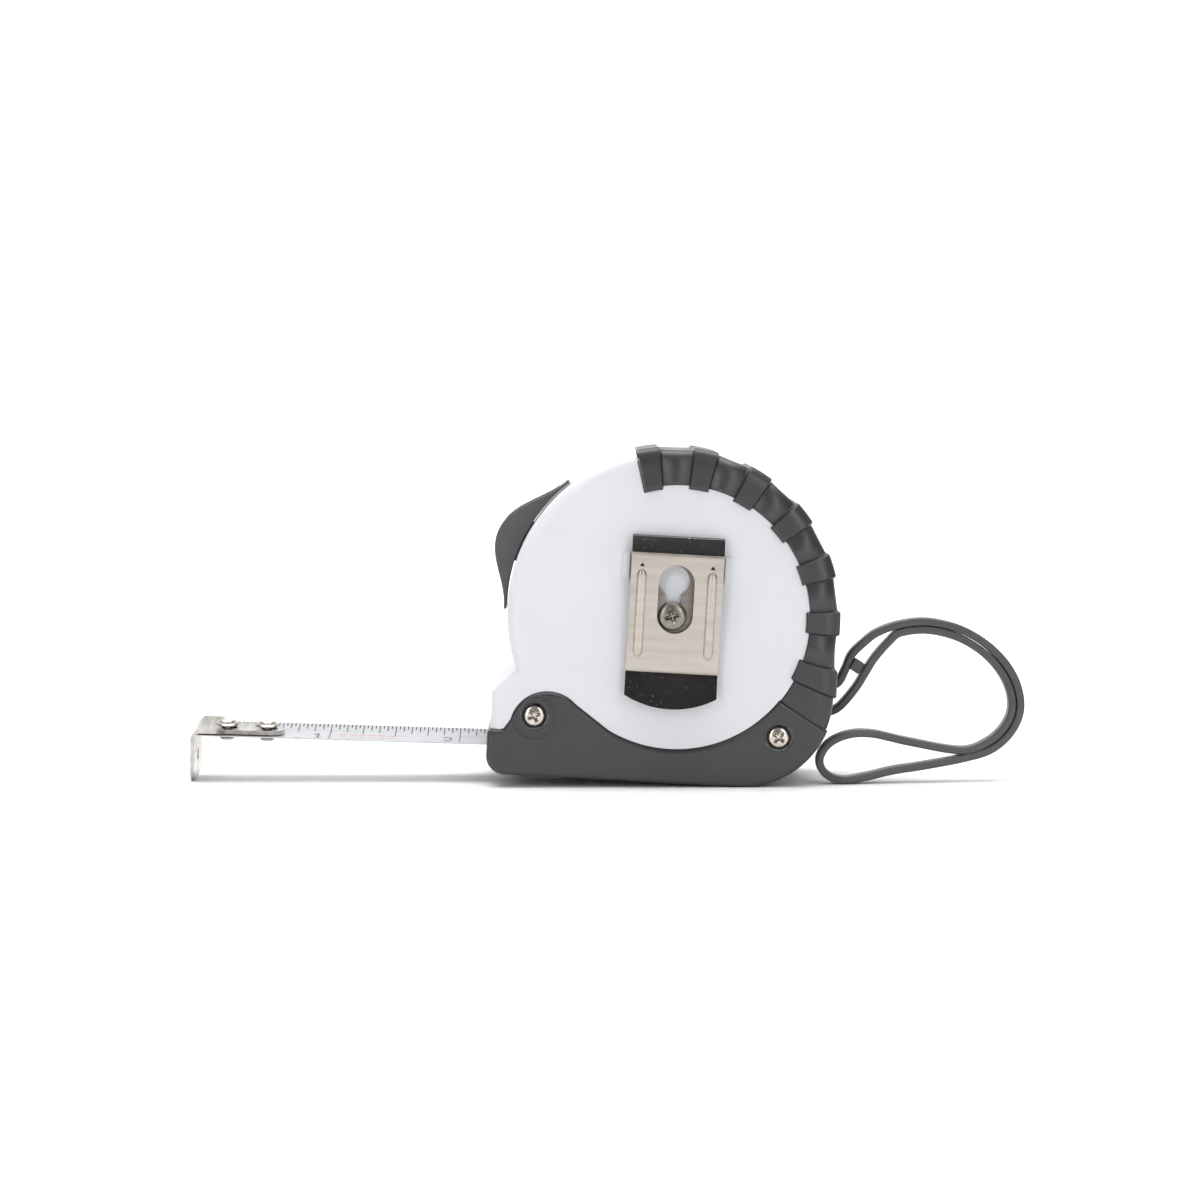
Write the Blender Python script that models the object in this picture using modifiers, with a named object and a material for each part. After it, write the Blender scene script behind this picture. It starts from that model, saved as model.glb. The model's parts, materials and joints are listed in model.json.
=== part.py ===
"""A pocket tape measure with a 13 mm steel blade, a rubber-covered round case, a belt clip and a wrist strap.

Units are metres, +Z is up. The case is drawn in its own frame: its origin is the spool's axis, -X is the mouth
where the blade comes out, +X the rear, -Y the side with the belt clip, and Y = 0 the seam between the halves.
The whole case then leans on a "stance" empty, because the drawn-out hook reaches lower than the flat base:
the tape measure rests on its heel and on the tip of the hook.
"""

import math

import bmesh
import bpy
from mathutils import Vector

MM = 0.001
GAP = 0.3 * MM  # between pieces that touch
BEYOND = 3.0 * MM  # how far a cutter reaches past the face it opens

# Case outline
CASE_R = 31.5 * MM  # round top, about the spool's axis
HEEL_R = 17.0 * MM  # rear bottom corner
BASE_DROP = 0.2 * MM  # flat base below the round's lowest point
NOSE_L = 2.0 * MM  # flat front ahead of the round's foremost point
BASE_Z = -CASE_R - BASE_DROP
FRONT_X = -CASE_R - NOSE_L
HEEL_TOP_Z = BASE_Z + HEEL_R  # where the straight back meets the heel's arc
FRONT_CORNER_R = 3.5 * MM
SHARPEST_CORNER_R = 0.5 * MM
CHAMFER_Z = BASE_Z + 15.4 * MM  # lower end of the 45 degree chamfer above the mouth
CASE_HALF_WIDTH = 13.6 * MM  # seam to the plain white face
FACE_ROUND = 2.4 * MM

# Walls
RUBBER_T = 1.2 * MM  # rubber let into the case's outline
SHELL_WALL = 1.2 * MM  # plastic behind the rubber
CAVITY_INSET = RUBBER_T + GAP + SHELL_WALL
BAND_PROUD = 0.25 * MM  # how far each rubber part stands out of the outline
RIB_PROUD = 0.9 * MM
BUMPER_PROUD = 0.5 * MM

# White disc that the rubber leaves open, and the rubber's other edges
DISC_X = 1.0 * MM
DISC_Z = -0.4 * MM
DISC_R = 25.4 * MM
RIB_INNER_R = 24.7 * MM
RIB_COUNT = 7
RIB_FIRST_DEG = 101.6
RIB_PITCH_DEG = 20.28
RIB_WIDTH_DEG = 8.6
GRIP_END_DEG = 105.0
GRIP_FOOT_DEG = -19.2  # on the heel's arc
GRIP_FOOT_INNER_DEG = -35.4  # on the disc's edge
HUMP_X = FRONT_X + 10.9 * MM
HUMP_Z = BASE_Z + 8.7 * MM
HUMP_R = 7.2 * MM
MOUTH_SHELF_Z = BASE_Z + 8.1 * MM
FOOT_PAD_X = (FRONT_X + 5.5 * MM, FRONT_X + 14.5 * MM)
FOOT_PAD_H = 0.5 * MM

# Blade and hook
BLADE_W = 12.7 * MM
BLADE_T = 0.2 * MM
BLADE_CUP = 0.9 * MM  # how far its edges curl up
BLADE_Z = BASE_Z + 4.2 * MM  # at the mouth
BLADE_DROOP_DEG = 1.4
BLADE_ROLL_DEG = 6.5  # turned a little about its length, the clip side down
BLADE_OUT = 56.9 * MM  # drawn out of the mouth
BLADE_IN = 3.0 * MM  # still inside the mouth
MOUTH_CLEAR = 0.65 * MM  # beside the blade
MOUTH_CLEAR_UNDER = 1.15 * MM  # for the rivets' tails
MOUTH_CLEAR_OVER = 1.8 * MM  # for the hook's plate and the rivets' heads
HOOK_T = 0.8 * MM
HOOK_DROP = 8.9 * MM  # from the blade down to the hook's tip
HOOK_W = 12.0 * MM
HOOK_WIDE_L = 3.6 * MM
HOOK_TAPER_L = 5.8 * MM
HOOK_TONGUE_L = 16.5 * MM
HOOK_TONGUE_W = 6.6 * MM
HOOK_PLAY = 0.8 * MM  # as far as the hook is thick, so that it measures true pushed or pulled
HOOK_CORNER_R = 3.0 * MM
RIVET_X = (5.4 * MM, 13.2 * MM)  # from the end of the blade
RIVET_R = 0.9 * MM
RIVET_HEAD_R = 2.3 * MM
RIVET_HEAD_T = 0.5 * MM
NAIL_HOLE_R = 1.1 * MM

# Spool
HUB_R = 14.7 * MM
HUB_WALL = 1.1 * MM
FLANGE_R = 23.8 * MM
FLANGE_T = 1.0 * MM
COIL_R = 21.2 * MM
ARBOR_R = 3.6 * MM
ARBOR_SLOT = 0.9 * MM
SPRING_W = 11.0 * MM
SPRING_T = 0.3 * MM
SPRING_TURNS = 5
SIDE_FLOAT = 0.45 * MM  # each side of the blade

# Thumb lock
LOCK_W = 10.0 * MM
LOCK_FROM_DEG = 131.0
LOCK_TO_DEG = 182.0
LOCK_PEAK_DEG = 157.5
LOCK_PEAK = 4.6 * MM
LOCK_TRAVEL_DEG = 4.0
LOCK_ARM_T = 1.1 * MM
LOCK_ARM_W = 6.0 * MM
LOCK_NECK_DEG = (150.0, 165.0)
LOCK_SLOT_SPARE_DEG = 2.0
LOCK_LEG_Z = BLADE_Z + 3.5 * MM
LOCK_FORK_W = 10.4 * MM  # the arm's foot presses on both edges of the blade
LOCK_FORK_SLOT_W = 7.6 * MM  # and lets the hook's tongue and rivets pass between
LOCK_FORK_TOP_Z = BLADE_Z + 6.1 * MM
LOCK_FORK_SLOT_Z = BLADE_Z + 5.3 * MM

# Fasteners
SCREW_HEAD_R = 2.3 * MM
SCREW_HEAD_T = 1.3 * MM
SCREW_SHANK_R = 1.1 * MM
BOSS_R = 2.2 * MM
SCREW_RECESS_R = 3.1 * MM
SCREW_SINK = 0.7 * MM  # head below the bumper's face
FRONT_SCREW = (FRONT_X + 8.3 * MM, BASE_Z + 11.0 * MM)
REAR_SCREW = (CASE_R - 9.7 * MM, BASE_Z + 9.4 * MM)
CLIP_SCREW_HEAD_R = 2.7 * MM
CLIP_SCREW_HEAD_T = 1.2 * MM

# Belt clip
CLIP_X = 0.45 * MM
CLIP_W = 17.6 * MM
CLIP_T = 0.6 * MM
CLIP_TOP_Z = 15.3 * MM
CLIP_SHOULDER_Z = 11.8 * MM
CLIP_BEND_Z = -10.8 * MM
CLIP_TIP_Z = -17.6 * MM
CLIP_TIP_ARC_R = 18.0 * MM
CLIP_PLATE_FOOT_Z = -11.0 * MM
CLIP_STANDOFF = 3.2 * MM  # shoulder of the leaf out from the case
CLIP_PINCH = 1.9 * MM  # bend of the leaf out from the case
CLIP_FLARE = 3.6 * MM  # tip of the leaf out from the case
WINDOW_W = 6.8 * MM
WINDOW_Z = (-3.2 * MM, 9.8 * MM)
KEYHOLE_LIFT = 6.7 * MM  # from the screw up to the round opening
KEYHOLE_R = 2.95 * MM
KEYHOLE_SLOT_W = 3.0 * MM
RAIL_Z = (6.6 * MM, 11.6 * MM)
RAIL_W = 1.2 * MM
RAIL_H = 0.9 * MM

# Wrist strap
STRAP_D = 1.3 * MM  # thickness of the strap, drawn here as a round cord
STRAP_HOLE_Z = (-13.1 * MM, -18.4 * MM)
STRAP_HOLE_H = 2.6 * MM
STRAP_HOLE_W = 4.2 * MM
STRAND_PITCH = 1.6 * MM
BRIDGE_AT = (36.35 * MM, -3.5 * MM, -10.7 * MM)
BRIDGE_SIZE = (1.9 * MM, 2.6 * MM, 2.4 * MM)
BRIDGE_TURN_DEG = 33.0

ARC_STEP_DEG = 6.0

# The strap's route, in millimetres from the spool's axis, upright: +X back, -Y towards the clip side.
STRAP_FROM_CASE = [
    (25.9, 0.0, -16.6), (26.6, 0.0, -14.9), (30.0, 0.0, -14.8), (32.7, -0.5, -14.2), (34.2, -1.2, -11.4),
    (35.3, -1.8, -8.6), (37.3, -2.3, -6.4), (40.2, -2.7, -4.1),
]
STRAP_DOUBLE_RUN = [
    (44.7, -3.0, -3.3), (50.1, -3.0, -2.8), (56.5, -3.2, -4.4), (62.2, -3.4, -8.1), (66.0, -3.7, -13.1),
    (67.2, -4.0, -18.4), (65.6, -4.4, -22.7), (61.9, -4.8, -26.0), (56.6, -5.2, -27.6),
]
STRAP_LOOP = [
    (49.0, -6.2, -29.7), (43.0, -7.0, -30.5), (37.8, -7.8, -31.6), (33.2, -8.4, -32.2), (29.9, -8.2, -31.0),
    (28.7, -7.9, -28.3), (30.4, -7.6, -25.3), (34.2, -7.3, -23.5), (39.0, -6.7, -23.4), (46.0, -6.0, -25.0),
]
STRAP_TO_CASE = [
    (42.5, -3.0, -5.8), (39.6, -2.7, -9.2), (37.9, -2.2, -12.1), (35.9, -1.6, -15.4), (32.7, -0.7, -19.1),
    (29.4, 0.0, -20.1), (27.2, 0.0, -20.0), (26.0, 0.0, -19.1),
]


def remove_startup_objects():
    for obj in list(bpy.data.objects):
        bpy.data.objects.remove(obj, do_unlink=True)


def make_collection(name):
    collection = bpy.data.collections.new(name)
    bpy.context.scene.collection.children.link(collection)
    return collection


def make_material(name, colour, roughness, metallic):
    material = bpy.data.materials.new(name)
    material.use_nodes = True
    shader = material.node_tree.nodes["Principled BSDF"]
    shader.inputs["Base Color"].default_value = (*colour, 1.0)
    shader.inputs["Roughness"].default_value = roughness
    shader.inputs["Metallic"].default_value = metallic
    material.diffuse_color = (*colour, 1.0)
    return material


def make_empty(name, parent=None):
    empty = bpy.data.objects.new(name, None)
    parts.objects.link(empty)
    empty.parent = parent
    return empty


def add_part(name, mesh, material, parent):
    """A visible sub-part."""
    obj = bpy.data.objects.new(name, mesh)
    parts.objects.link(obj)
    mesh.materials.clear()
    mesh.materials.append(material)
    mesh.shade_smooth()
    mesh.set_sharp_from_angle(angle=math.radians(30))
    obj.parent = parent
    return obj


def add_helper(name, mesh, parent):
    """A shape that only cuts or is joined to a sub-part."""
    obj = bpy.data.objects.new(name, mesh)
    cutters.objects.link(obj)
    obj.hide_render = True
    obj.display_type = "WIRE"
    obj.parent = parent
    return obj


def boolean(obj, helper, operation, solver="EXACT"):
    modifier = obj.modifiers.new(f"{operation.lower()} {helper.name}", "BOOLEAN")
    modifier.operation = operation
    modifier.object = helper
    modifier.solver = solver


def cut(obj, *helpers):
    for helper in helpers:
        boolean(obj, helper, "DIFFERENCE")


def join(obj, *helpers):
    for helper in helpers:
        boolean(obj, helper, "UNION")


def mesh_of_curve(curve):
    """The closed mesh of a curve with its caps welded on."""
    holder = bpy.data.objects.new(curve.name, curve)
    bpy.context.scene.collection.objects.link(holder)
    bpy.context.view_layer.update()
    graph = bpy.context.evaluated_depsgraph_get()
    mesh = bpy.data.meshes.new_from_object(holder.evaluated_get(graph))
    bpy.data.objects.remove(holder)
    shape = bmesh.new()
    shape.from_mesh(mesh)
    bmesh.ops.remove_doubles(shape, verts=shape.verts, dist=0.001 * MM)
    bmesh.ops.dissolve_limit(shape, angle_limit=math.radians(0.3), verts=shape.verts, edges=shape.edges)
    bmesh.ops.recalc_face_normals(shape, faces=shape.faces)
    shape.to_mesh(mesh)
    shape.free()
    return mesh


PLANES = {
    "X": lambda u, v, w: (w, u, v),
    "Y": lambda u, v, w: (u, w, v),
    "Z": lambda u, v, w: (u, v, w),
}


def slab(name, points, low, high, axis="Y", rounding=0.0, round_high=True, segments=3):
    """A flat outline made thick along an axis, with the rim of its high or low face rounded."""
    curve = bpy.data.curves.new(name, "CURVE")
    curve.dimensions = "2D"
    curve.fill_mode = "BOTH"
    curve.extrude = (high - low) / 2
    spline = curve.splines.new("POLY")
    spline.points.add(len(points) - 1)
    for point, (u, v) in zip(spline.points, points):
        point.co = (u, v, 0.0, 1.0)
    spline.use_cyclic_u = True
    mesh = mesh_of_curve(curve)
    shape = bmesh.new()
    shape.from_mesh(mesh)
    middle = (high + low) / 2
    for vertex in shape.verts:
        vertex.co = PLANES[axis](vertex.co.x, vertex.co.y, vertex.co.z + middle)
    if shape.calc_volume(signed=True) < 0:
        bmesh.ops.reverse_faces(shape, faces=shape.faces)
    if rounding:
        level = high if round_high else low
        index = "XYZ".index(axis)
        rim = [
            edge for edge in shape.edges
            if all(abs(end.co[index] - level) < 0.01 * MM for end in edge.verts)
            and edge.calc_face_angle(0.0) > math.radians(45)
        ]
        bmesh.ops.bevel(shape, geom=rim, offset=rounding, segments=segments, profile=0.5, affect="EDGES",
                        clamp_overlap=True)
    shape.to_mesh(mesh)
    shape.free()
    return mesh


def side_slab(name, points, near, far, side, rounding=0.0, segments=3):
    """A slab of one case half: near and far are distances from the seam, side is -1 or +1."""
    low, high = sorted((near * side, far * side))
    return slab(name, points, low, high, "Y", rounding, side > 0, segments)


def block(name, low, high):
    """A box between two corners."""
    points = [(low[0], low[2]), (high[0], low[2]), (high[0], high[2]), (low[0], high[2])]
    return slab(name, points, low[1], high[1])


def turned(name, profile, closed):
    """A profile of (radius, height) pairs turned about local Z. It runs down its outer side."""
    mesh = bpy.data.meshes.new(name)
    vertices = [(radius, 0.0, height) for radius, height in profile]
    edges = [(i, i + 1) for i in range(len(profile) - 1)]
    if closed:
        edges.append((len(profile) - 1, 0))
    mesh.from_pydata(vertices, edges, [])
    return mesh


def add_screw_modifier(obj, steps):
    modifier = obj.modifiers.new("turn", "SCREW")
    modifier.axis = "Z"
    modifier.steps = steps
    modifier.render_steps = steps
    modifier.use_merge_vertices = True
    modifier.merge_threshold = 0.00001
    modifier.use_smooth_shade = True


def add_turned_part(name, profile, steps, material, parent, closed=False):
    obj = add_part(name, turned(name, profile, closed), material, parent)
    add_screw_modifier(obj, steps)
    return obj


def arc(centre, radius, start_deg, end_deg, steps=None):
    """Points on an arc, angles from the first axis towards the second."""
    if steps is None:
        steps = max(1, round(abs(end_deg - start_deg) / ARC_STEP_DEG))
    points = []
    for i in range(steps + 1):
        angle = math.radians(start_deg + (end_deg - start_deg) * i / steps)
        points.append((centre[0] + radius * math.cos(angle), centre[1] + radius * math.sin(angle)))
    return points


def heel_centre():
    return (CASE_R - HEEL_R, HEEL_TOP_Z)


def chamfer_meets_round(inset):
    """The angle on the round top where the chamfer above the mouth ends."""
    offset = CHAMFER_Z - FRONT_X - inset * math.sqrt(2)
    radius = CASE_R - inset
    x = (-offset - math.sqrt(2 * radius**2 - offset**2)) / 2
    return math.degrees(math.atan2(x + offset, x)) % 360


def case_outline(inset):
    """The side view of the case, moved in by inset all round."""
    corner_r = max(FRONT_CORNER_R - inset, SHARPEST_CORNER_R)
    corner = (FRONT_X + inset + corner_r, BASE_Z + inset + corner_r)
    points = arc((0.0, 0.0), CASE_R - inset, 0.0, chamfer_meets_round(inset))
    points.append((FRONT_X + inset, CHAMFER_Z + inset - inset * math.sqrt(2)))
    points += arc(corner, corner_r, 180.0, 270.0, 4)
    points += arc(heel_centre(), HEEL_R - inset, -90.0, 0.0)
    return points


def ray_to_disc(angle_deg, radius):
    """Distance from the spool's axis to the rim of the white disc's circle along a ray."""
    along = Vector((math.cos(math.radians(angle_deg)), math.sin(math.radians(angle_deg))))
    centre = Vector((DISC_X, DISC_Z))
    reach = along.dot(centre)
    return reach + math.sqrt(radius**2 - centre.length_squared + reach**2)


def ray_to_outline(angle_deg, proud):
    """Distance from the spool's axis to the case's outline, on its round top or its straight back."""
    radius = CASE_R + proud
    if angle_deg >= 0:
        return radius
    return radius / math.cos(math.radians(angle_deg))


def rib_outline(index, proud, grow):
    """One raised rib of the grip: a wedge between two rays. grow widens it all round."""
    middle = RIB_FIRST_DEG - index * RIB_PITCH_DEG
    half = RIB_WIDTH_DEG / 2 + math.degrees(grow / CASE_R)
    angles = [middle - half, middle, middle + half]
    points = []
    for angle in angles:
        reach = ray_to_outline(angle, proud)
        points.append((reach * math.cos(math.radians(angle)), reach * math.sin(math.radians(angle))))
    for angle in reversed(angles):
        reach = ray_to_disc(angle, RIB_INNER_R - grow)
        points.append((reach * math.cos(math.radians(angle)), reach * math.sin(math.radians(angle))))
    return points


def grip_outline(proud, grow):
    """The ribbed band over the back, from the top of the case down to the bumper."""
    disc = (DISC_X, DISC_Z)
    end = GRIP_END_DEG + math.degrees(grow / CASE_R)
    foot = GRIP_FOOT_DEG - math.degrees(grow / HEEL_R)
    foot_inner = GRIP_FOOT_INNER_DEG - math.degrees(grow / DISC_R)
    points = arc(disc, DISC_R - grow, end, foot_inner)
    points += arc(heel_centre(), HEEL_R + proud, foot, 0.0)
    points += arc((0.0, 0.0), CASE_R + proud, 0.0, end)
    return points


def bumper_outline(proud, grow):
    """The rubber base: heel, flat bottom, front corner, shelf over the mouth, screw hump and disc edge."""
    disc = (DISC_X, DISC_Z)
    corner_r = FRONT_CORNER_R
    corner = (FRONT_X - proud + corner_r, BASE_Z - proud + corner_r)
    gap = GAP - grow
    points = [(FRONT_X - proud, MOUTH_SHELF_Z + grow), (HUMP_X - HUMP_R - 1.4 * MM, MOUTH_SHELF_Z + grow)]
    points = arc(corner, corner_r, 270.0, 180.0, 4) + points
    points += arc((HUMP_X, HUMP_Z), HUMP_R + grow, 165.0, 38.0)
    points += arc(disc, DISC_R - 0.2 * MM - grow, -118.0, GRIP_FOOT_INNER_DEG - math.degrees(gap / DISC_R))
    points += arc(heel_centre(), HEEL_R + proud, GRIP_FOOT_DEG - math.degrees(gap / HEEL_R), -90.0)
    return points


def rubber_core(name, side, inset, face):
    """What a rubber part is hollowed by: the plastic case behind it."""
    return add_helper(name, side_slab(name, case_outline(inset), -1.0 * MM, face, side), stance)


def rubber_recess(name, side, outlines):
    """Cutter for the plastic half: the space of a rubber part and a gap round it."""
    inset = RUBBER_T + GAP
    top = CASE_HALF_WIDTH + BEYOND
    recess = add_helper(name, side_slab(name, outlines[0], -1.0 * MM, top, side), stance)
    for index, outline in enumerate(outlines[1:]):
        more = f"{name}_rib_{index + 1}"
        join(recess, add_helper(more, side_slab(more, outline, -1.0 * MM, top, side), stance))
    core = f"{name}_core"
    core_mesh = side_slab(core, case_outline(inset), -2.0 * MM, CASE_HALF_WIDTH - inset, side)
    cut(recess, add_helper(core, core_mesh, stance))
    return recess


def mouth_cutter(name):
    half = BLADE_W / 2 + MOUTH_CLEAR
    low = (FRONT_X - BEYOND, -half, BLADE_Z - BLADE_T - MOUTH_CLEAR_UNDER)
    high = (FRONT_X + CAVITY_INSET + BEYOND, half, BLADE_Z + BLADE_CUP + MOUTH_CLEAR_OVER)
    return add_helper(name, block(name, low, high), stance)


def strap_hole_cutters(name):
    helpers = []
    for index, height in enumerate(STRAP_HOLE_Z):
        low = (CASE_R - CAVITY_INSET - BEYOND, -STRAP_HOLE_W / 2, height - STRAP_HOLE_H / 2)
        high = (CASE_R + BEYOND, STRAP_HOLE_W / 2, height + STRAP_HOLE_H / 2)
        label = f"{name}_{index + 1}"
        helpers.append(add_helper(label, block(label, low, high), stance))
    return helpers


def lock_slot_cutter(name):
    """The slot in the rounded front that the thumb lock's neck slides in."""
    start = LOCK_NECK_DEG[0] - LOCK_SLOT_SPARE_DEG
    end = LOCK_NECK_DEG[1] + LOCK_TRAVEL_DEG + LOCK_SLOT_SPARE_DEG
    points = arc((0.0, 0.0), CASE_R + BEYOND, start, end)
    points += arc((0.0, 0.0), CASE_R - CAVITY_INSET - BEYOND, end, start)
    half = LOCK_ARM_W / 2 + GAP
    return add_helper(name, slab(name, points, -half, half), stance)


def cylinder_helper(name, centre, radius, near, far, side, steps=20):
    points = arc(centre, radius, 0.0, 360.0 * (steps - 1) / steps, steps - 1)
    return add_helper(name, side_slab(name, points, near, far, side), stance)


def add_case_half(side, label):
    """One plastic half with its screw bosses, cut for the rubber, the mouth, the lock and the strap."""
    name = f"case_half_{label}_side"
    mesh = side_slab(name, case_outline(0.0), GAP / 2, CASE_HALF_WIDTH, side, FACE_ROUND, 4)
    half = add_part(name, mesh, white_plastic, stance)
    ceiling = CASE_HALF_WIDTH - CAVITY_INSET
    cavity = f"{label}_cavity"
    cut(half, add_helper(cavity, side_slab(cavity, case_outline(CAVITY_INSET), -1.0 * MM, ceiling, side), stance))
    for place, centre in (("front", FRONT_SCREW), ("rear", REAR_SCREW)):
        join(half, cylinder_helper(f"{label}_boss_{place}", centre, BOSS_R, GAP / 2, ceiling + 0.5 * MM, side))
    ribs = [rib_outline(index, BEYOND, GAP) for index in range(RIB_COUNT)]
    cut(half, rubber_recess(f"{label}_grip_recess", side, [grip_outline(BEYOND, GAP)] + ribs))
    cut(half, rubber_recess(f"{label}_bumper_recess", side, [bumper_outline(BEYOND, GAP)]))
    cut(half, mouth_cutter(f"{label}_mouth"), lock_slot_cutter(f"{label}_lock_slot"))
    cut(half, *strap_hole_cutters(f"{label}_strap_hole"))
    return half


def add_arbor_and_pilots(half):
    """The post moulded on the label side: the spool turns on it and the mainspring hooks in its slot."""
    ceiling = CASE_HALF_WIDTH - CAVITY_INSET
    reach = ceiling - GAP
    join(half, cylinder_helper("arbor", (0.0, 0.0), ARBOR_R, -reach, ceiling + 0.5 * MM, 1, 24))
    slot_reach = SPRING_W / 2 + 0.5 * MM
    slot = block("arbor_slot", (-ARBOR_R - MM, -reach - MM, -ARBOR_SLOT / 2), (-SCREW_SHANK_R - MM, slot_reach,
                                                                             ARBOR_SLOT / 2))
    cut(half, add_helper("arbor_slot", slot, stance))
    bore = SCREW_SHANK_R + GAP
    cut(half, cylinder_helper("arbor_bore", (0.0, 0.0), bore, -reach - MM, ceiling - 4.0 * MM, 1, 16))
    for place, centre in (("front", FRONT_SCREW), ("rear", REAR_SCREW)):
        cut(half, cylinder_helper(f"pilot_{place}", centre, bore, -MM, ceiling - 3.0 * MM, 1, 16))


def add_clip_side_holes(half):
    """Clearance holes for the three screws and the rails that keep the belt clip straight."""
    bore = SCREW_SHANK_R + GAP
    through = CASE_HALF_WIDTH + 2.0 * MM
    head_seat = CASE_HALF_WIDTH + BUMPER_PROUD - SCREW_SINK - SCREW_HEAD_T - GAP
    cut(half, cylinder_helper("clip_screw_hole", (0.0, 0.0), bore, -MM, through, -1, 16))
    for place, centre in (("front", FRONT_SCREW), ("rear", REAR_SCREW)):
        cut(half, cylinder_helper(f"screw_hole_{place}", centre, bore, -MM, through, -1, 16))
        cut(half, cylinder_helper(f"screw_seat_{place}", centre, SCREW_HEAD_R + GAP, head_seat, through, -1, 20))
    for turn in (-1, 1):
        middle = CLIP_X + turn * (CLIP_W / 2 + GAP + RAIL_W / 2)
        label = "rail_front" if turn < 0 else "rail_rear"
        low = (middle - RAIL_W / 2, -CASE_HALF_WIDTH - RAIL_H, RAIL_Z[0])
        high = (middle + RAIL_W / 2, -CASE_HALF_WIDTH + 0.5 * MM, RAIL_Z[1])
        join(half, add_helper(label, block(label, low, high), stance))


def add_bumper(side, label):
    """The rubber base of one half."""
    name = f"bumper_{label}_side"
    face = CASE_HALF_WIDTH + BUMPER_PROUD
    mesh = side_slab(name, bumper_outline(BUMPER_PROUD, 0.0), GAP / 2, face, side, 1.0 * MM)
    bumper = add_part(name, mesh, dark_rubber, stance)
    pad = f"{label}_foot_pad"
    pad_low = BASE_Z - BUMPER_PROUD - FOOT_PAD_H
    chamfer = 2 * FOOT_PAD_H
    pad_top = BASE_Z - 0.2 * MM
    pad_points = [
        (FOOT_PAD_X[0], pad_top), (FOOT_PAD_X[0] + chamfer, pad_low),
        (FOOT_PAD_X[1] - chamfer, pad_low), (FOOT_PAD_X[1], pad_top),
    ]
    pad_mesh = side_slab(pad, pad_points, GAP / 2, CASE_HALF_WIDTH - 1.5 * MM, side)
    join(bumper, add_helper(pad, pad_mesh, stance))
    cut(bumper, rubber_core(f"{label}_bumper_core", side, RUBBER_T, CASE_HALF_WIDTH - RUBBER_T))
    cut(bumper, mouth_cutter(f"{label}_bumper_mouth"), *strap_hole_cutters(f"{label}_bumper_hole"))
    if side < 0:
        for place, centre in (("front", FRONT_SCREW), ("rear", REAR_SCREW)):
            well = f"screw_well_{place}"
            cut(bumper, cylinder_helper(well, centre, SCREW_RECESS_R, 5.0 * MM, face + MM, side, 24))
    return bumper


def add_grip(side, label):
    """The ribbed rubber band of one half."""
    name = f"grip_{label}_side"
    face = CASE_HALF_WIDTH + BAND_PROUD
    mesh = side_slab(name, grip_outline(BAND_PROUD, 0.0), GAP / 2, face, side, 1.6 * MM)
    grip = add_part(name, mesh, dark_rubber, stance)
    for index in range(RIB_COUNT):
        rib = f"{label}_rib_{index + 1}"
        outline = rib_outline(index, RIB_PROUD, 0.0)
        rib_face = CASE_HALF_WIDTH + RIB_PROUD
        join(grip, add_helper(rib, side_slab(rib, outline, GAP / 2, rib_face, side, 1.2 * MM, 2), stance))
    cut(grip, rubber_core(f"{label}_grip_core", side, RUBBER_T, CASE_HALF_WIDTH - RUBBER_T))
    cut(grip, *strap_hole_cutters(f"{label}_grip_hole"))
    return grip


def lock_height(angle_deg):
    """How far the thumb lock stands out of the round case: steep above its peak, hollow below."""
    if angle_deg < LOCK_PEAK_DEG:
        share = (angle_deg - LOCK_FROM_DEG) / (LOCK_PEAK_DEG - LOCK_FROM_DEG)
    else:
        share = (LOCK_TO_DEG - angle_deg) / (LOCK_TO_DEG - LOCK_PEAK_DEG)
    return LOCK_PEAK * (0.5 - 0.5 * math.cos(math.pi * share)) ** 1.25


def front_run(inset):
    """The inside of the case's front, moved in by inset: round, chamfer, then straight down to the blade."""
    points = arc((0.0, 0.0), CASE_R - inset, LOCK_NECK_DEG[0], chamfer_meets_round(inset))
    x = FRONT_X + inset
    points.append((x, CHAMFER_Z + inset - inset * math.sqrt(2)))
    points.append((x, LOCK_LEG_Z))
    return points


def add_thumb_lock():
    """The button on the front of the case, with the arm inside that presses on the blade."""
    inner = CASE_R + GAP
    skin = 0.5 * MM
    steps = 24
    angles = [LOCK_FROM_DEG + (LOCK_TO_DEG - LOCK_FROM_DEG) * i / steps for i in range(steps + 1)]
    points = []
    for angle in angles:
        reach = inner + skin + lock_height(angle)
        points.append((reach * math.cos(math.radians(angle)), reach * math.sin(math.radians(angle))))
    points += arc((0.0, 0.0), inner, LOCK_TO_DEG, LOCK_FROM_DEG)
    mesh = slab("thumb_lock", points, -LOCK_W / 2, LOCK_W / 2)
    lock = add_part("thumb_lock", mesh, dark_plastic, lock_axis)
    half = LOCK_ARM_W / 2
    outer_inset = CAVITY_INSET + GAP
    inner_inset = outer_inset + LOCK_ARM_T
    neck = arc((0.0, 0.0), inner + 0.2 * MM, *LOCK_NECK_DEG)
    neck += arc((0.0, 0.0), CASE_R - inner_inset, *LOCK_NECK_DEG[::-1])
    join(lock, add_helper("lock_neck", slab("lock_neck", neck, -half, half), lock_axis))
    arm_points = front_run(outer_inset) + front_run(inner_inset)[::-1]
    arm = slab("lock_arm", arm_points, -half, half)
    join(lock, add_helper("lock_arm", arm, lock_axis))
    add_lock_fork(lock, FRONT_X + outer_inset, FRONT_X + inner_inset)
    return lock


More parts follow.
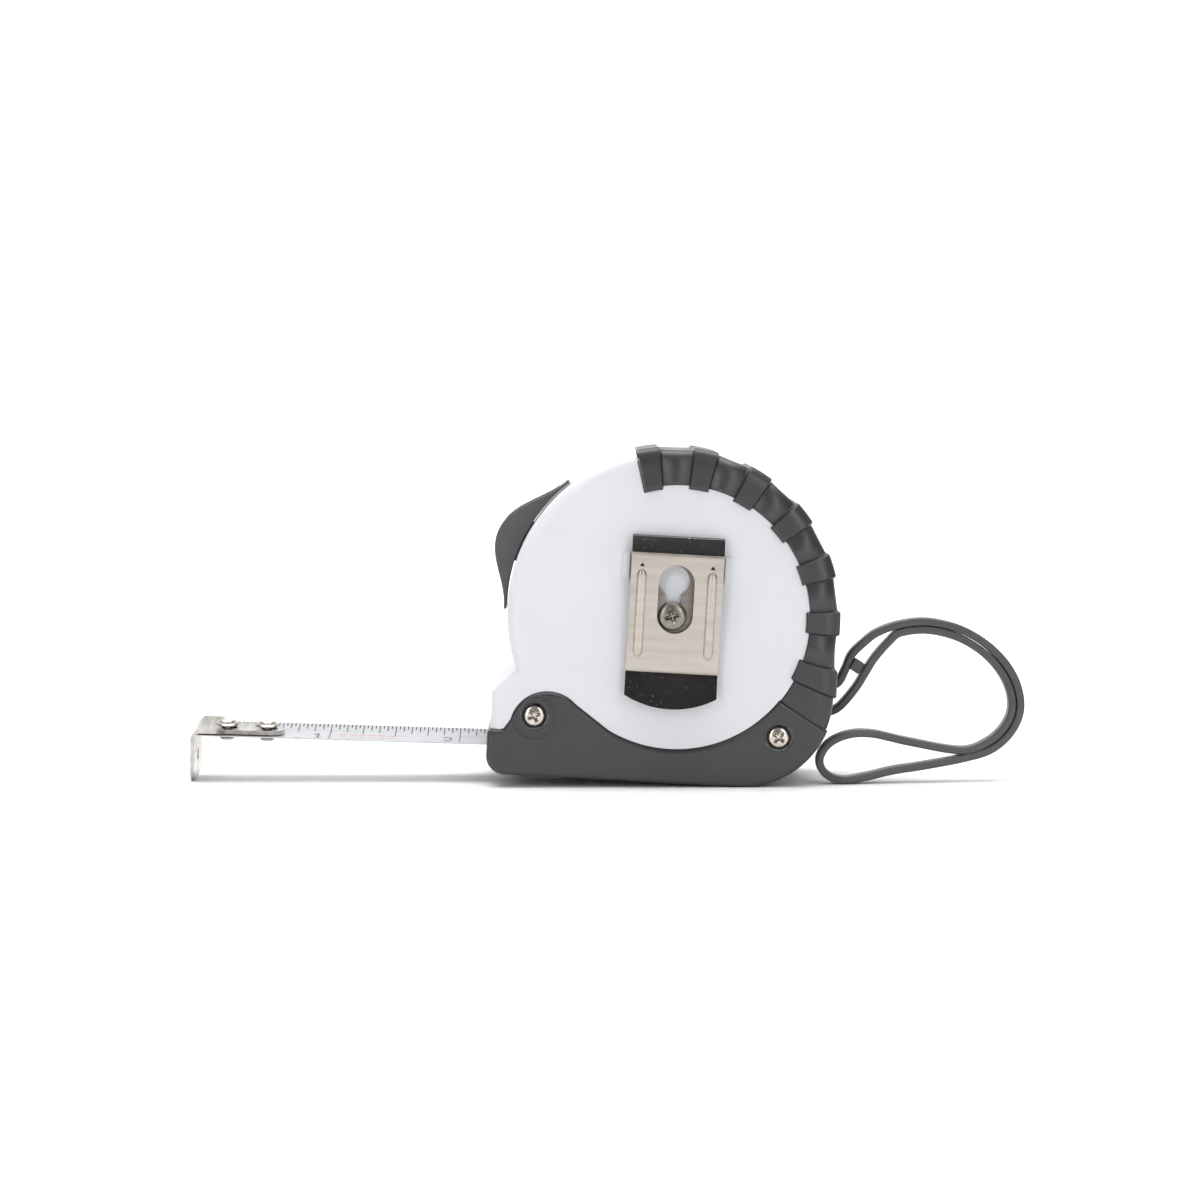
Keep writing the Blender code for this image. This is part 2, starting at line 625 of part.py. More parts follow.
def add_lock_fork(lock, front, back):
    """The arm's forked foot, a little thinner than the arm."""
    skin = 0.05 * MM
    half = LOCK_FORK_W / 2
    foot = block("lock_foot", (front + skin, -half, LOCK_LEG_Z), (back - skin, half, LOCK_FORK_TOP_Z))
    join(lock, add_helper("lock_foot", foot, lock_axis))
    slot_half = LOCK_FORK_SLOT_W / 2
    low = (front - MM, -slot_half, LOCK_LEG_Z - MM)
    high = (back + MM, slot_half, LOCK_FORK_SLOT_Z)
    cut(lock, add_helper("lock_fork_slot", block("lock_fork_slot", low, high), lock_axis))


def add_spool():
    """The drum that the blade is wound on, open on one side, and the cover that closes it over the mainspring."""
    inner_side = BLADE_W / 2 + SIDE_FLOAT
    outer_side = inner_side + FLANGE_T
    hub_inner = HUB_R - HUB_WALL
    bore = ARBOR_R + GAP
    profile = [
        (HUB_R, inner_side - GAP), (HUB_R, -inner_side), (FLANGE_R, -inner_side), (FLANGE_R, -outer_side),
        (bore, -outer_side), (bore, -inner_side), (hub_inner, -inner_side), (hub_inner, inner_side - GAP),
    ]
    spool = add_turned_part("spool", profile, 48, spool_plastic, spool_axis, closed=True)
    cover = [
        (FLANGE_R, outer_side), (FLANGE_R, inner_side), (bore, inner_side), (bore, outer_side),
    ]
    lid = add_turned_part("spool_cover", cover, 48, spool_plastic, spool_axis, closed=True)
    for obj in (spool, lid):
        obj.rotation_euler.x = math.radians(90)


def add_mainspring():
    """The flat coiled spring that draws the blade back, from the arbor's slot out to the drum's wall."""
    start = ARBOR_R + GAP + SPRING_T
    end = HUB_R - HUB_WALL - GAP - SPRING_T
    count = SPRING_TURNS * 20
    middle = []
    for i in range(count + 1):
        angle = 2 * math.pi * SPRING_TURNS * i / count + math.pi
        reach = start + (end - start) * i / count
        middle.append((reach, angle))
    outer = [((reach + SPRING_T / 2) * math.cos(a), (reach + SPRING_T / 2) * math.sin(a)) for reach, a in middle]
    inner = [((reach - SPRING_T / 2) * math.cos(a), (reach - SPRING_T / 2) * math.sin(a)) for reach, a in middle]
    mesh = slab("mainspring", outer + inner[::-1], -SPRING_W / 2, SPRING_W / 2)
    return add_part("mainspring", mesh, spring_steel, spool_axis)


def add_blade_coil():
    """The wound part of the blade."""
    half = BLADE_W / 2
    inner = HUB_R + GAP
    profile = [(COIL_R, half), (COIL_R, -half), (inner, -half), (inner, half)]
    coil = add_turned_part("blade_coil", profile, 48, blade_paint, spool_axis, closed=True)
    coil.rotation_euler.x = math.radians(90)


def cup_height(across):
    """Height of the blade's curved section above its middle."""
    return BLADE_CUP * (2 * across / BLADE_W) ** 2


def cupped_sheet(name, outline_half_width, start, end, lift, steps_along):
    """A sheet that follows the blade's curved section, as wide as outline_half_width says at each place."""
    across_steps = 10
    shape = bmesh.new()
    rows = []
    for i in range(steps_along + 1):
        x = start + (end - start) * i / steps_along
        half = outline_half_width(x)
        row = []
        for j in range(across_steps + 1):
            y = half * (2 * j / across_steps - 1)
            row.append(shape.verts.new((x, y, cup_height(y) + lift)))
        rows.append(row)
    for low, high in zip(rows, rows[1:]):
        for j in range(across_steps):
            shape.faces.new((low[j], high[j], high[j + 1], low[j + 1]))
    mesh = bpy.data.meshes.new(name)
    shape.to_mesh(mesh)
    shape.free()
    return mesh


def add_solidify(obj, thickness):
    modifier = obj.modifiers.new("thickness", "SOLIDIFY")
    modifier.thickness = thickness
    modifier.offset = -1.0


def add_blade():
    """The straight run of the blade, drawn out of the mouth."""
    mesh = cupped_sheet("blade", lambda x: BLADE_W / 2, -BLADE_OUT, BLADE_IN, 0.0, 4)
    blade = add_part("blade", mesh, blade_paint, blade_line)
    add_solidify(blade, BLADE_T)


def hook_half_width(x):
    """Half the width of the hook's plate: wide at the bend, tapered, then a tongue with a round end."""
    along = x + BLADE_OUT
    if along <= HOOK_WIDE_L:
        return HOOK_W / 2
    if along <= HOOK_TAPER_L:
        share = (along - HOOK_WIDE_L) / (HOOK_TAPER_L - HOOK_WIDE_L)
        return HOOK_W / 2 + share * (HOOK_TONGUE_W - HOOK_W) / 2
    nose = HOOK_TONGUE_L - HOOK_TONGUE_W / 2
    if along <= nose:
        return HOOK_TONGUE_W / 2
    depth = min(along - nose, HOOK_TONGUE_W / 2 - 0.3 * MM)
    return math.sqrt((HOOK_TONGUE_W / 2) ** 2 - depth**2)


def add_hook():
    """The end hook: a plate riveted into the blade's hollow and a tab bent down."""
    lift = GAP + HOOK_T
    back = -BLADE_OUT - GAP - HOOK_T / 2
    mesh = cupped_sheet("end_hook", hook_half_width, back, -BLADE_OUT + HOOK_TONGUE_L, lift, 22)
    hook = add_part("end_hook", mesh, nickel, hook_slide)
    add_solidify(hook, HOOK_T)
    half = HOOK_W / 2
    steps = 8
    crown = [half - 2 * half * i / steps for i in range(steps + 1)]
    outline = [(y, cup_height(y) + lift - HOOK_T / 5) for y in crown]
    low = HOOK_CORNER_R - HOOK_DROP
    outline += arc((HOOK_CORNER_R - half, low), HOOK_CORNER_R, 180.0, 270.0, 5)
    outline += arc((half - HOOK_CORNER_R, low), HOOK_CORNER_R, 270.0, 360.0, 5)
    tab = slab("hook_tab", outline, -BLADE_OUT - GAP - HOOK_T, -BLADE_OUT - GAP, "X")
    join(hook, add_helper("hook_tab", tab, hook_slide))
    hole = arc((0.0, -0.5 * HOOK_DROP), NAIL_HOLE_R, 0.0, 337.5, 15)
    hole_mesh = slab("nail_hole", hole, -BLADE_OUT - HOOK_T - BEYOND, -BLADE_OUT + BEYOND, "X")
    cut(hook, add_helper("nail_hole", hole_mesh, hook_slide))
    bore = RIVET_R + GAP
    for index, along in enumerate(RIVET_X):
        x = -BLADE_OUT + along
        points = arc((x + HOOK_PLAY, 0.0), bore, -90.0, 90.0, 6) + arc((x, 0.0), bore, 90.0, 270.0, 6)
        label = f"rivet_slot_{index + 1}"
        cut(hook, add_helper(label, slab(label, points, -BEYOND, BEYOND, "Z"), hook_slide))
    return hook


def add_rivets():
    """Two tubular rivets through the blade, with play for the hook under their heads."""
    top = GAP + HOOK_T + 2 * GAP
    tail = -BLADE_T - GAP
    profile = [
        (0.0, top + RIVET_HEAD_T), (RIVET_HEAD_R * 0.75, top + RIVET_HEAD_T), (RIVET_HEAD_R, top + RIVET_HEAD_T / 2),
        (RIVET_HEAD_R, top), (RIVET_R, top), (RIVET_R, tail), (RIVET_HEAD_R, tail),
        (RIVET_HEAD_R, tail - RIVET_HEAD_T / 2), (RIVET_HEAD_R * 0.75, tail - RIVET_HEAD_T),
        (0.0, tail - RIVET_HEAD_T),
    ]
    blade = bpy.data.objects["blade"]
    for index, along in enumerate(RIVET_X):
        name = f"hook_rivet_{index + 1}"
        rivet = add_turned_part(name, profile, 20, nickel, blade_line)
        rivet.location = (-BLADE_OUT + along, 0.0, 0.0)
        hole = arc((-BLADE_OUT + along, 0.0), RIVET_R + GAP, 0.0, 337.5, 15)
        label = f"blade_hole_{index + 1}"
        cut(blade, add_helper(label, slab(label, hole, -MM, MM, "Z"), blade_line))


def screw_profile(head_r, head_t, shank_r, length):
    """A pan head on a straight shank. Height 0 is the underside of the head."""
    return [
        (0.0, head_t), (head_r * 0.55, head_t), (head_r * 0.88, head_t * 0.72), (head_r, head_t * 0.3),
        (head_r, 0.0), (shank_r, 0.0), (shank_r, -length + shank_r), (0.0, -length),
    ]


def cross_recess(name, size, head_t, parent):
    """The cross slot of a screw head, as a cutter in the screw's own frame."""
    arm = size
    half = size * 0.24
    points = [
        (arm, -half), (arm, half), (half, half), (half, arm), (-half, arm), (-half, half),
        (-arm, half), (-arm, -half), (-half, -half), (-half, -arm), (half, -arm), (half, -half),
    ]
    return add_helper(name, slab(name, points, head_t * 0.35, head_t * 2, "Z"), parent)


def add_case_screw(name, centre, seat, length, head_r, head_t):
    """A screw from the clip side, with its head outwards. seat is the underside of its head."""
    screw = add_turned_part(name, screw_profile(head_r, head_t, SCREW_SHANK_R, length), 24, nickel, stance)
    screw.location = (centre[0], -seat, centre[1])
    screw.rotation_euler.x = math.radians(90)
    boolean(screw, cross_recess(f"{name}_cross", head_r * 0.55, head_t, screw), "DIFFERENCE", "MANIFOLD")
    return screw


def add_screws():
    seat = CASE_HALF_WIDTH + BUMPER_PROUD - SCREW_SINK - SCREW_HEAD_T
    ceiling = CASE_HALF_WIDTH - CAVITY_INSET
    length = seat + ceiling - 4.0 * MM
    for name, centre in (("case_screw_front", FRONT_SCREW), ("case_screw_rear", REAR_SCREW)):
        add_case_screw(name, centre, seat, length, SCREW_HEAD_R, SCREW_HEAD_T)
    clip_seat = CASE_HALF_WIDTH + GAP + CLIP_T + GAP
    add_case_screw("clip_screw", (0.0, 0.0), clip_seat, clip_seat + ceiling - 5.0 * MM, CLIP_SCREW_HEAD_R,
                   CLIP_SCREW_HEAD_T)


def strip_outline(points, thickness):
    """The closed outline of a bent strip of sheet metal, given the line along its one side."""
    left = [Vector(p) for p in points]
    right = []
    for i, point in enumerate(left):
        before = (point - left[i - 1]).normalized() if i else None
        after = (left[i + 1] - point).normalized() if i + 1 < len(left) else None
        along = before if after is None else after if before is None else (before + after).normalized()
        normal = Vector((-along.y, along.x))
        reference = after or before
        stretch = normal.dot(Vector((-reference.y, reference.x)))
        right.append(point + normal * thickness / stretch)
    return [tuple(p) for p in left] + [tuple(p) for p in reversed(right)]


def add_belt_clip():
    """The belt clip, one bent strip of spring steel: a plate on the case and a leaf that grips the belt."""
    face = -CASE_HALF_WIDTH - GAP
    fold = 0.9 * MM
    inner_line = [
        (face, CLIP_PLATE_FOOT_Z), (face, CLIP_TOP_Z - fold), (face - 0.25 * fold, CLIP_TOP_Z - 0.25 * fold),
        (face - fold, CLIP_TOP_Z), (face - 1.6 * fold, CLIP_TOP_Z - 0.25 * fold),
        (-CASE_HALF_WIDTH - CLIP_STANDOFF, CLIP_SHOULDER_Z + 0.5 * MM),
        (-CASE_HALF_WIDTH - CLIP_STANDOFF, CLIP_SHOULDER_Z - 0.5 * MM),
        (-CASE_HALF_WIDTH - CLIP_PINCH, CLIP_BEND_Z), (-CASE_HALF_WIDTH - CLIP_FLARE, CLIP_TIP_Z),
    ]
    low = CLIP_X - CLIP_W / 2
    mesh = slab("belt_clip", strip_outline(inner_line, CLIP_T), low, low + CLIP_W, "X")
    clip = add_part("belt_clip", mesh, nickel, clip_slide)
    half = WINDOW_W / 2
    window = arc((CLIP_X, WINDOW_Z[1] - half), half, 0.0, 180.0, 10)
    window += arc((CLIP_X, WINDOW_Z[0] + half), half, 180.0, 360.0, 10)
    leaf_low = -CASE_HALF_WIDTH - CLIP_STANDOFF - 2.0 * MM
    plate_top = face - CLIP_T - 0.4 * MM
    cut(clip, add_helper("clip_window", slab("clip_window", window, leaf_low, plate_top), clip_slide))
    keyhole = arc((0.0, KEYHOLE_LIFT), KEYHOLE_R, -59.0, 239.0, 16)
    slot = KEYHOLE_SLOT_W / 2
    keyhole += arc((0.0, 0.0), slot, 180.0, 360.0, 8)
    cut(clip, add_helper("clip_keyhole", slab("clip_keyhole", keyhole, plate_top, face + MM), clip_slide))
    tip = arc((CLIP_X, CLIP_TIP_Z + CLIP_TIP_ARC_R), CLIP_TIP_ARC_R, -125.0, -55.0, 12)
    drop = CLIP_TIP_Z - 6.0 * MM
    tip += [(tip[-1][0], drop), (tip[0][0], drop)]
    tip_low = -CASE_HALF_WIDTH - CLIP_FLARE - 3.0 * MM
    cut(clip, add_helper("clip_tip", slab("clip_tip", tip, tip_low, plate_top), clip_slide))
    return clip


def catmull_rom(points, pieces):
    """A smooth curve through the points, with that many steps between each pair."""
    path = []
    last = len(points) - 1
    for i in range(last):
        a, b, c, d = (points[max(i - 1, 0)], points[i], points[i + 1], points[min(i + 2, last)])
        for k in range(pieces):
            t = k / pieces
            path.append(0.5 * (2 * b + (c - a) * t + (2 * a - 5 * b + 4 * c - d) * t**2
                               + (3 * b - a - 3 * c + d) * t**3))
    path.append(points[last])
    return path


def strap_route():
    """The whole strap, one strand out and one back. Beside each other, the strands keep STRAND_PITCH apart."""
    run = [Vector(point) * MM for point in STRAP_DOUBLE_RUN]
    outer = []
    inner = []
    for i, point in enumerate(run):
        along = (run[min(i + 1, len(run) - 1)] - run[max(i - 1, 0)]).normalized()
        outward = Vector((-along.z, 0.0, along.x)).normalized()
        outer.append(point + outward * STRAND_PITCH / 2)
        inner.append(point - outward * STRAND_PITCH / 2)
    route = [Vector(point) * MM for point in STRAP_FROM_CASE] + outer
    route += [Vector(point) * MM for point in STRAP_LOOP] + inner[::-1]
    route += [Vector(point) * MM for point in STRAP_TO_CASE]
    return route


def add_wrist_strap():
    curve = bpy.data.curves.new("wrist_strap", "CURVE")
    curve.dimensions = "3D"
    curve.bevel_depth = STRAP_D / 2
    curve.bevel_resolution = 2
    curve.use_fill_caps = True
    path = catmull_rom(strap_route(), 2)
    spline = curve.splines.new("POLY")
    spline.points.add(len(path) - 1)
    for point, place in zip(spline.points, path):
        point.co = (*place, 1.0)
    curve.materials.append(dark_rubber)
    strap = bpy.data.objects.new("wrist_strap", curve)
    parts.objects.link(strap)
    strap.parent = upright
    return strap


def add_strap_bridge():
    """The short bar moulded between the two strands near the case."""
    half = [size / 2 for size in BRIDGE_SIZE]
    bridge_mesh = block("strap_bridge", [-h for h in half], half)
    bridge = add_part("strap_bridge", bridge_mesh, dark_rubber, upright)
    bridge.location = BRIDGE_AT
    bridge.rotation_euler.y = math.radians(BRIDGE_TURN_DEG)
    return bridge


def stance_angle():
    """The lean at which the heel's arc and the tip of the hook touch the same floor."""
    droop = math.radians(BLADE_DROOP_DEG)
    back = -BLADE_OUT - GAP
    roll = math.radians(BLADE_ROLL_DEG)
    drop = HOOK_CORNER_R + (HOOK_DROP - HOOK_CORNER_R) * math.cos(roll) + (HOOK_W / 2 - HOOK_CORNER_R) * math.sin(roll)
    tip_x = FRONT_X + back * math.cos(droop) + drop * math.sin(droop)
    tip_z = BLADE_Z + back * math.sin(droop) - drop * math.cos(droop)
    centre = heel_centre()
    run = centre[0] - tip_x
    rise = tip_z - centre[1]
    return math.asin(-(HEEL_R + BUMPER_PROUD) / math.hypot(run, rise)) - math.atan2(rise, run)


def seat_on_floor():
    """Puts the lowest point at Z = 0 and the origin under the middle of the object without its strap."""
    bpy.context.view_layer.update()
    graph = bpy.context.evaluated_depsgraph_get()
    corners = []
    for obj in parts.objects:
        if obj.type == "MESH" and obj.parent != upright:
            evaluated = obj.evaluated_get(graph)
            mesh = evaluated.to_mesh()
            corners += [evaluated.matrix_world @ vertex.co for vertex in mesh.vertices]
            evaluated.to_mesh_clear()
    low = [min(corner[i] for corner in corners) for i in range(3)]
    high = [max(corner[i] for corner in corners) for i in range(3)]
    shift = Vector((-(low[0] + high[0]) / 2, -(low[1] + high[1]) / 2, -low[2]))
    stance.location = shift
    upright.location = shift


remove_startup_objects()
parts = make_collection("tape_measure")
cutters = make_collection("cutters")

white_plastic = make_material("white_plastic", (0.86, 0.86, 0.88), 0.32, 0.0)
dark_rubber = make_material("dark_rubber", (0.055, 0.053, 0.055), 0.6, 0.0)
dark_plastic = make_material("dark_plastic", (0.06, 0.058, 0.06), 0.45, 0.0)
spool_plastic = make_material("spool_plastic", (0.7, 0.7, 0.68), 0.5, 0.0)
spring_steel = make_material("spring_steel", (0.25, 0.26, 0.3), 0.35, 1.0)
blade_paint = make_material("blade_paint", (0.9, 0.9, 0.9), 0.3, 0.0)
nickel = make_material("nickel", (0.62, 0.59, 0.55), 0.25, 1.0)

stance = make_empty("stance")
stance.rotation_euler.y = stance_angle()
upright = make_empty("upright")
spool_axis = make_empty("spool_axis", stance)
lock_axis = make_empty("lock_axis", stance)
clip_slide = make_empty("clip_slide", stance)
blade_line = make_empty("blade_line", stance)
blade_line.location = (FRONT_X, 0.0, BLADE_Z)
blade_line.rotation_euler = (math.radians(BLADE_ROLL_DEG), math.radians(-BLADE_DROOP_DEG), 0.0)
hook_slide = make_empty("hook_slide", blade_line)

clip_half = add_case_half(-1, "clip")
add_clip_side_holes(clip_half)
label_half = add_case_half(1, "label")
add_arbor_and_pilots(label_half)
for case_side, case_label in ((-1, "clip"), (1, "label")):
    add_bumper(case_side, case_label)
    add_grip(case_side, case_label)
add_thumb_lock()
add_spool()
add_mainspring()
add_blade_coil()
add_blade()
add_hook()
add_rivets()
add_screws()
add_belt_clip()
add_wrist_strap()
add_strap_bridge()
seat_on_floor()
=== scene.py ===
"""Looks of the pocket tape measure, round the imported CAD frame.

Shapes are drawn in millimetres in the case's own frame (origin on the spool's axis, -X the mouth, -Y the clip
side, Y = 0 the seam) and put in the world by CASE. The blade and its hook are drawn on their own line, BLADE.
"""

import json
import math

import bmesh
import bpy
from mathutils import Matrix, Vector


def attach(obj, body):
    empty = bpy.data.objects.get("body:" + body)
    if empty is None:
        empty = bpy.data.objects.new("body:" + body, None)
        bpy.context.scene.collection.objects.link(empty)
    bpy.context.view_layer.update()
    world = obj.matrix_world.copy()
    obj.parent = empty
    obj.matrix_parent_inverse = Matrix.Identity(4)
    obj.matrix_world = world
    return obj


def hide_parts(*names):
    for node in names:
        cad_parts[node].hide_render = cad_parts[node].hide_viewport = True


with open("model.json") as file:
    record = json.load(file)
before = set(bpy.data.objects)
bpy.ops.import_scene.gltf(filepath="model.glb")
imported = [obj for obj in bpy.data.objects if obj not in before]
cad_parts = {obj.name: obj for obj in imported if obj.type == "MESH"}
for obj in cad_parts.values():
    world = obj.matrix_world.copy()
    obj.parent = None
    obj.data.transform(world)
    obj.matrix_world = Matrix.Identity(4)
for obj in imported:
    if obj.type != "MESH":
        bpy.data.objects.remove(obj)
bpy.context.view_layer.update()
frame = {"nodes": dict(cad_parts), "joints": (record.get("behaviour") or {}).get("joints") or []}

JOINTS = {joint["name"]: joint for joint in frame["joints"]}
SPOOL_AT = Vector(JOINTS["reel_spin"]["pos_m"])
CLIP_DOWN = Vector(JOINTS["clip_release"]["axis"])
TAPE_OUT = Vector(JOINTS["tape_slide"]["axis"])
LEAN = math.atan2(-CLIP_DOWN.x, -CLIP_DOWN.z)
MM = Matrix.Scale(0.001, 4)

# Case, in millimetres
CASE_R = 31.5
HEEL_R = 17.0
HEEL = (14.5, -14.7)
BASE_Z = -31.7
FRONT_X = -33.5
FRONT_CORNER_R = 3.5
CHAMFER_Z = -16.3
HALF_W = 13.6
SEAM = 0.08
RUBBER_T = 1.2
WALL = 2.7
BAND_PROUD = 0.25
RIB_PROUD = 0.9
RIB_PROUD_ON_TOP = 0.75
BUMPER_PROUD = 0.5
TIGHT = 0.05  # between rubber and plastic
PAST = 3.0  # how far a cutter reaches past the face it opens
SCREW_WELL_R = 2.7
STRAP_HOLE_Z = (-13.1, -18.4)
DISC = (1.0, -0.4)
DISC_R = 25.4
RIB_INNER_R = 24.7
RIB_COUNT = 7
RIB_FIRST = 101.6
RIB_PITCH = 20.28
RIB_WIDTH = 8.6
GRIP_END = 105.0
GRIP_FOOT = -34.2  # lower end of the ribbed band, before its foot is skewed to meet the base
GRIP_FOOT_INNER = -34.9
GRIP_FOOT_SKEW = 1.3
HEEL_FOOT = -19.2
DISC_FOOT = -35.4
HUMP = (-22.6, -23.0)
HUMP_R = 7.2
SHELF_Z = -23.6
FRONT_SCREW = (-25.2, -20.7)
REAR_SCREW = (21.8, -22.3)

# Thumb lock: angles about the spool's axis, in degrees
LOCK_TOP = 131.0
LOCK_FOOT = 182.0
LOCK_PEAK_AT = 157.5
LOCK_PEAK = 4.6
LOCK_HOLLOW = (134.5, 154.0)
LOCK_NECK = (150.0, 165.0)
LOCK_CLEAR = 0.3
LOCK_LEG_Z = -24.0

# Blade and hook, on the blade's own line
BLADE_Z = -27.5
BLADE_W = 12.7
BLADE_T = 0.2
CUP = 0.9
BLADE_OUT = 56.9
BLADE_IN = 3.0
ROLL = math.radians(6.5)
HOOK_W = 12.0
HOOK_T = 0.8
HOOK_DROP = 8.9
TONGUE_L = 16.5
TONGUE_W = 6.6
TONGUE_FROM = 3.6  # where the hook starts to narrow
TONGUE_AT = 5.8
RIVETS = (5.4, 13.2)
RIVET_HOLE_R = 1.2
HOOK_LIFT = 0.3  # hook's plate over the blade
HOOK_PLAY = 0.8
INCH = 25.4
MOUTH_SIDE = 0.65
MOUTH_UNDER = 1.35
MOUTH_OVER = 2.7

# Belt clip
CLIP_X = 0.45
CLIP_W = 17.6
CLIP_T = 0.6
CLIP_GAP = 0.3
BEAD_X = 6.7  # beads and dimples, each side of the middle
WINDOW = (-3.2, 9.8)
WINDOW_HALF = 3.4
KEYHOLE_UP = 6.7
KEYHOLE_R = 2.95

CASE = Matrix.Translation(SPOOL_AT) @ Matrix.Rotation(LEAN, 4, "Y") @ MM
BLADE = (
    Matrix.Translation(CASE @ Vector((FRONT_X, 0.0, BLADE_Z)))
    @ Matrix.Rotation(math.atan2(TAPE_OUT.z, -TAPE_OUT.x), 4, "Y")
    @ Matrix.Rotation(ROLL, 4, "X")
    @ MM
)
UPRIGHT = Matrix.Translation(SPOOL_AT) @ MM


# ---------------------------------------------------------------- materials


class Shader:
    """A Principled material and short ways to add nodes to it."""

    def __init__(self, name):
        self.material = bpy.data.materials.new(name)
        self.material.use_nodes = True
        self.tree = self.material.node_tree
        self.bsdf = self.tree.nodes["Principled BSDF"]
        self.coords = self.node("ShaderNodeTexCoord").outputs["Object"]

    def node(self, kind, **settings):
        made = self.tree.nodes.new(kind)
        for key, value in settings.items():
            setattr(made, key, value)
        return made

    def link(self, source, target):
        self.tree.links.new(source, target)

    def set(self, **values):
        for key, value in values.items():
            socket = self.bsdf.inputs[key.replace("_", " ")]
            socket.default_value = value
        return self

    def stretched(self, scale):
        mapping = self.node("ShaderNodeMapping")
        mapping.inputs["Scale"].default_value = scale
        self.link(self.coords, mapping.inputs["Vector"])
        return mapping.outputs["Vector"]

    def noise(self, scale, detail=3.0, roughness=0.55, stretch=None):
        noise = self.node("ShaderNodeTexNoise")
        noise.inputs["Scale"].default_value = scale
        noise.inputs["Detail"].default_value = detail
        noise.inputs["Roughness"].default_value = roughness
        self.link(self.coords if stretch is None else self.stretched(stretch), noise.inputs["Vector"])
        return noise.outputs["Fac"]

    def ramp(self, factor, stops):
        ramp = self.node("ShaderNodeValToRGB")
        elements = ramp.color_ramp.elements
        while len(elements) < len(stops):
            elements.new(0.5)
        for element, (place, colour) in zip(elements, stops):
            element.position = place
            element.color = (*colour, 1.0) if len(colour) == 3 else colour
        self.link(factor, ramp.inputs["Fac"])
        return ramp.outputs["Color"]

    def span(self, factor, low, high):
        """Maps a factor's middle range to low..high."""
        span = self.node("ShaderNodeMapRange")
        span.inputs["From Min"].default_value = 0.3
        span.inputs["From Max"].default_value = 0.7
        span.inputs["To Min"].default_value = low
        span.inputs["To Max"].default_value = high
        self.link(factor, span.inputs["Value"])
        return span.outputs["Result"]

    def colour(self, factor, *stops):
        self.link(self.ramp(factor, stops), self.bsdf.inputs["Base Color"])

    def gloss(self, scale, detail, low, high):
        self.link(self.span(self.noise(scale, detail), low, high), self.bsdf.inputs["Roughness"])

    def bump(self, height, distance, strength=1.0, below=None):
        bump = self.node("ShaderNodeBump")
        bump.inputs["Distance"].default_value = distance
        bump.inputs["Strength"].default_value = strength
        self.link(height, bump.inputs["Height"])
        if below is not None:
            self.link(below, bump.inputs["Normal"])
        self.link(bump.outputs["Normal"], self.bsdf.inputs["Normal"])
        return bump.outputs["Normal"]


def moulded(name, dark, light, rough, grain, grain_depth, waves=0.5, shine=0.5, cloud=60.0):
    """Moulded plastic or rubber: a fine eroded grain, a slow colour drift and uneven gloss."""
    shader = Shader(name)
    shader.colour(shader.noise(cloud, 2.0), (0.3, dark), (0.7, light))
    shader.gloss(cloud * 7, 4.0, *rough)
    flow = shader.bump(shader.noise(cloud * 2.5, 2.0), 0.00004, waves)
    shader.bump(shader.noise(grain, 2.0, 0.6), grain_depth, 0.6, flow)
    return shader.set(Specular_IOR_Level=shine).material


def rolled_metal(name, dark, light, rough, stretch, scratch_depth=0.000006):
    """Sheet metal with the fine lines of its rolling, faint stains and smudged gloss."""
    shader = Shader(name)
    lines = shader.noise(900.0, 3.0, 0.6, stretch)
    shader.colour(lines, (0.3, dark), (0.7, light))
    shader.gloss(260.0, 4.0, *rough)
    shader.bump(lines, scratch_depth, 0.5)
    return shader.set(Metallic=1.0).material


def speckled_metal(name, base, speck, rough):
    """Mirror-bright metal with a scatter of tiny pits and dust; its dark base colour is a painted dark
    reflection.
    """
    shader = Shader(name)
    shader.colour(shader.noise(2600.0, 2.0, 0.5), (0.0, base), (0.66, base), (0.72, speck))
    shader.gloss(300.0, 3.0, *rough)
    shader.bump(shader.noise(420.0, 2.0), 0.00002, 0.35)
    return shader.set(Metallic=1.0).material


WHITE = moulded("white_abs", (0.655, 0.665, 0.7), (0.68, 0.69, 0.72), (0.3, 0.4), 5200.0, 0.000012)
RUBBER = moulded("dark_rubber", (0.0135, 0.0125, 0.0135), (0.017, 0.016, 0.0165), (0.34, 0.4),
                 3800.0, 0.000012, 0.12, 0.75)
STRAP = moulded("strap_rubber", (0.042, 0.040, 0.042), (0.048, 0.046, 0.047), (0.36, 0.44),
                4200.0, 0.00001, 0.12, 0.7)
LOCK_BLACK = moulded("lock_plastic", (0.05, 0.048, 0.05), (0.06, 0.057, 0.059), (0.32, 0.4),
                     4600.0, 0.000015, 0.15, 0.8)
SPOOL_GREY = moulded("spool_plastic", (0.6, 0.6, 0.58), (0.68, 0.68, 0.66), (0.45, 0.6), 3000.0, 0.00002)
ALONG_X = (0.06, 1.0, 1.0)  # stretches a noise into lines along the blade or across the clip
EVEN = (1.0, 1.0, 1.0)
LEAF = rolled_metal("nickel_leaf", (0.43, 0.39, 0.35), (0.52, 0.48, 0.435), (0.26, 0.4), ALONG_X)
# Darker copy of the leaf's nickel for the plate seen through the clip's window: painted shade.
PAINTED_SHADE_PLATE = rolled_metal("painted_shade_plate_nickel", (0.20, 0.175, 0.155), (0.29, 0.26, 0.235), (0.34, 0.5), ALONG_X)
# Near-black nickel for the inner walls of the clip's window: painted shade.
PAINTED_SHADE_WALL = rolled_metal("painted_shade_wall_nickel", (0.075, 0.062, 0.053), (0.13, 0.11, 0.095), (0.4, 0.5), EVEN)
HOOK_METAL = rolled_metal("hook_nickel", (0.41, 0.385, 0.365), (0.60, 0.575, 0.545), (0.24, 0.36),
                          (1.0, 0.08, 1.0))
SCREW_METAL = rolled_metal("screw_nickel", (0.47, 0.425, 0.38), (0.64, 0.59, 0.53), (0.16, 0.26), EVEN)
GUNMETAL = rolled_metal("screw_gunmetal", (0.20, 0.185, 0.16), (0.30, 0.28, 0.24), (0.24, 0.36), EVEN)
RIVET_METAL = rolled_metal("rivet_nickel", (0.32, 0.285, 0.255), (0.55, 0.51, 0.465), (0.16, 0.28), EVEN)
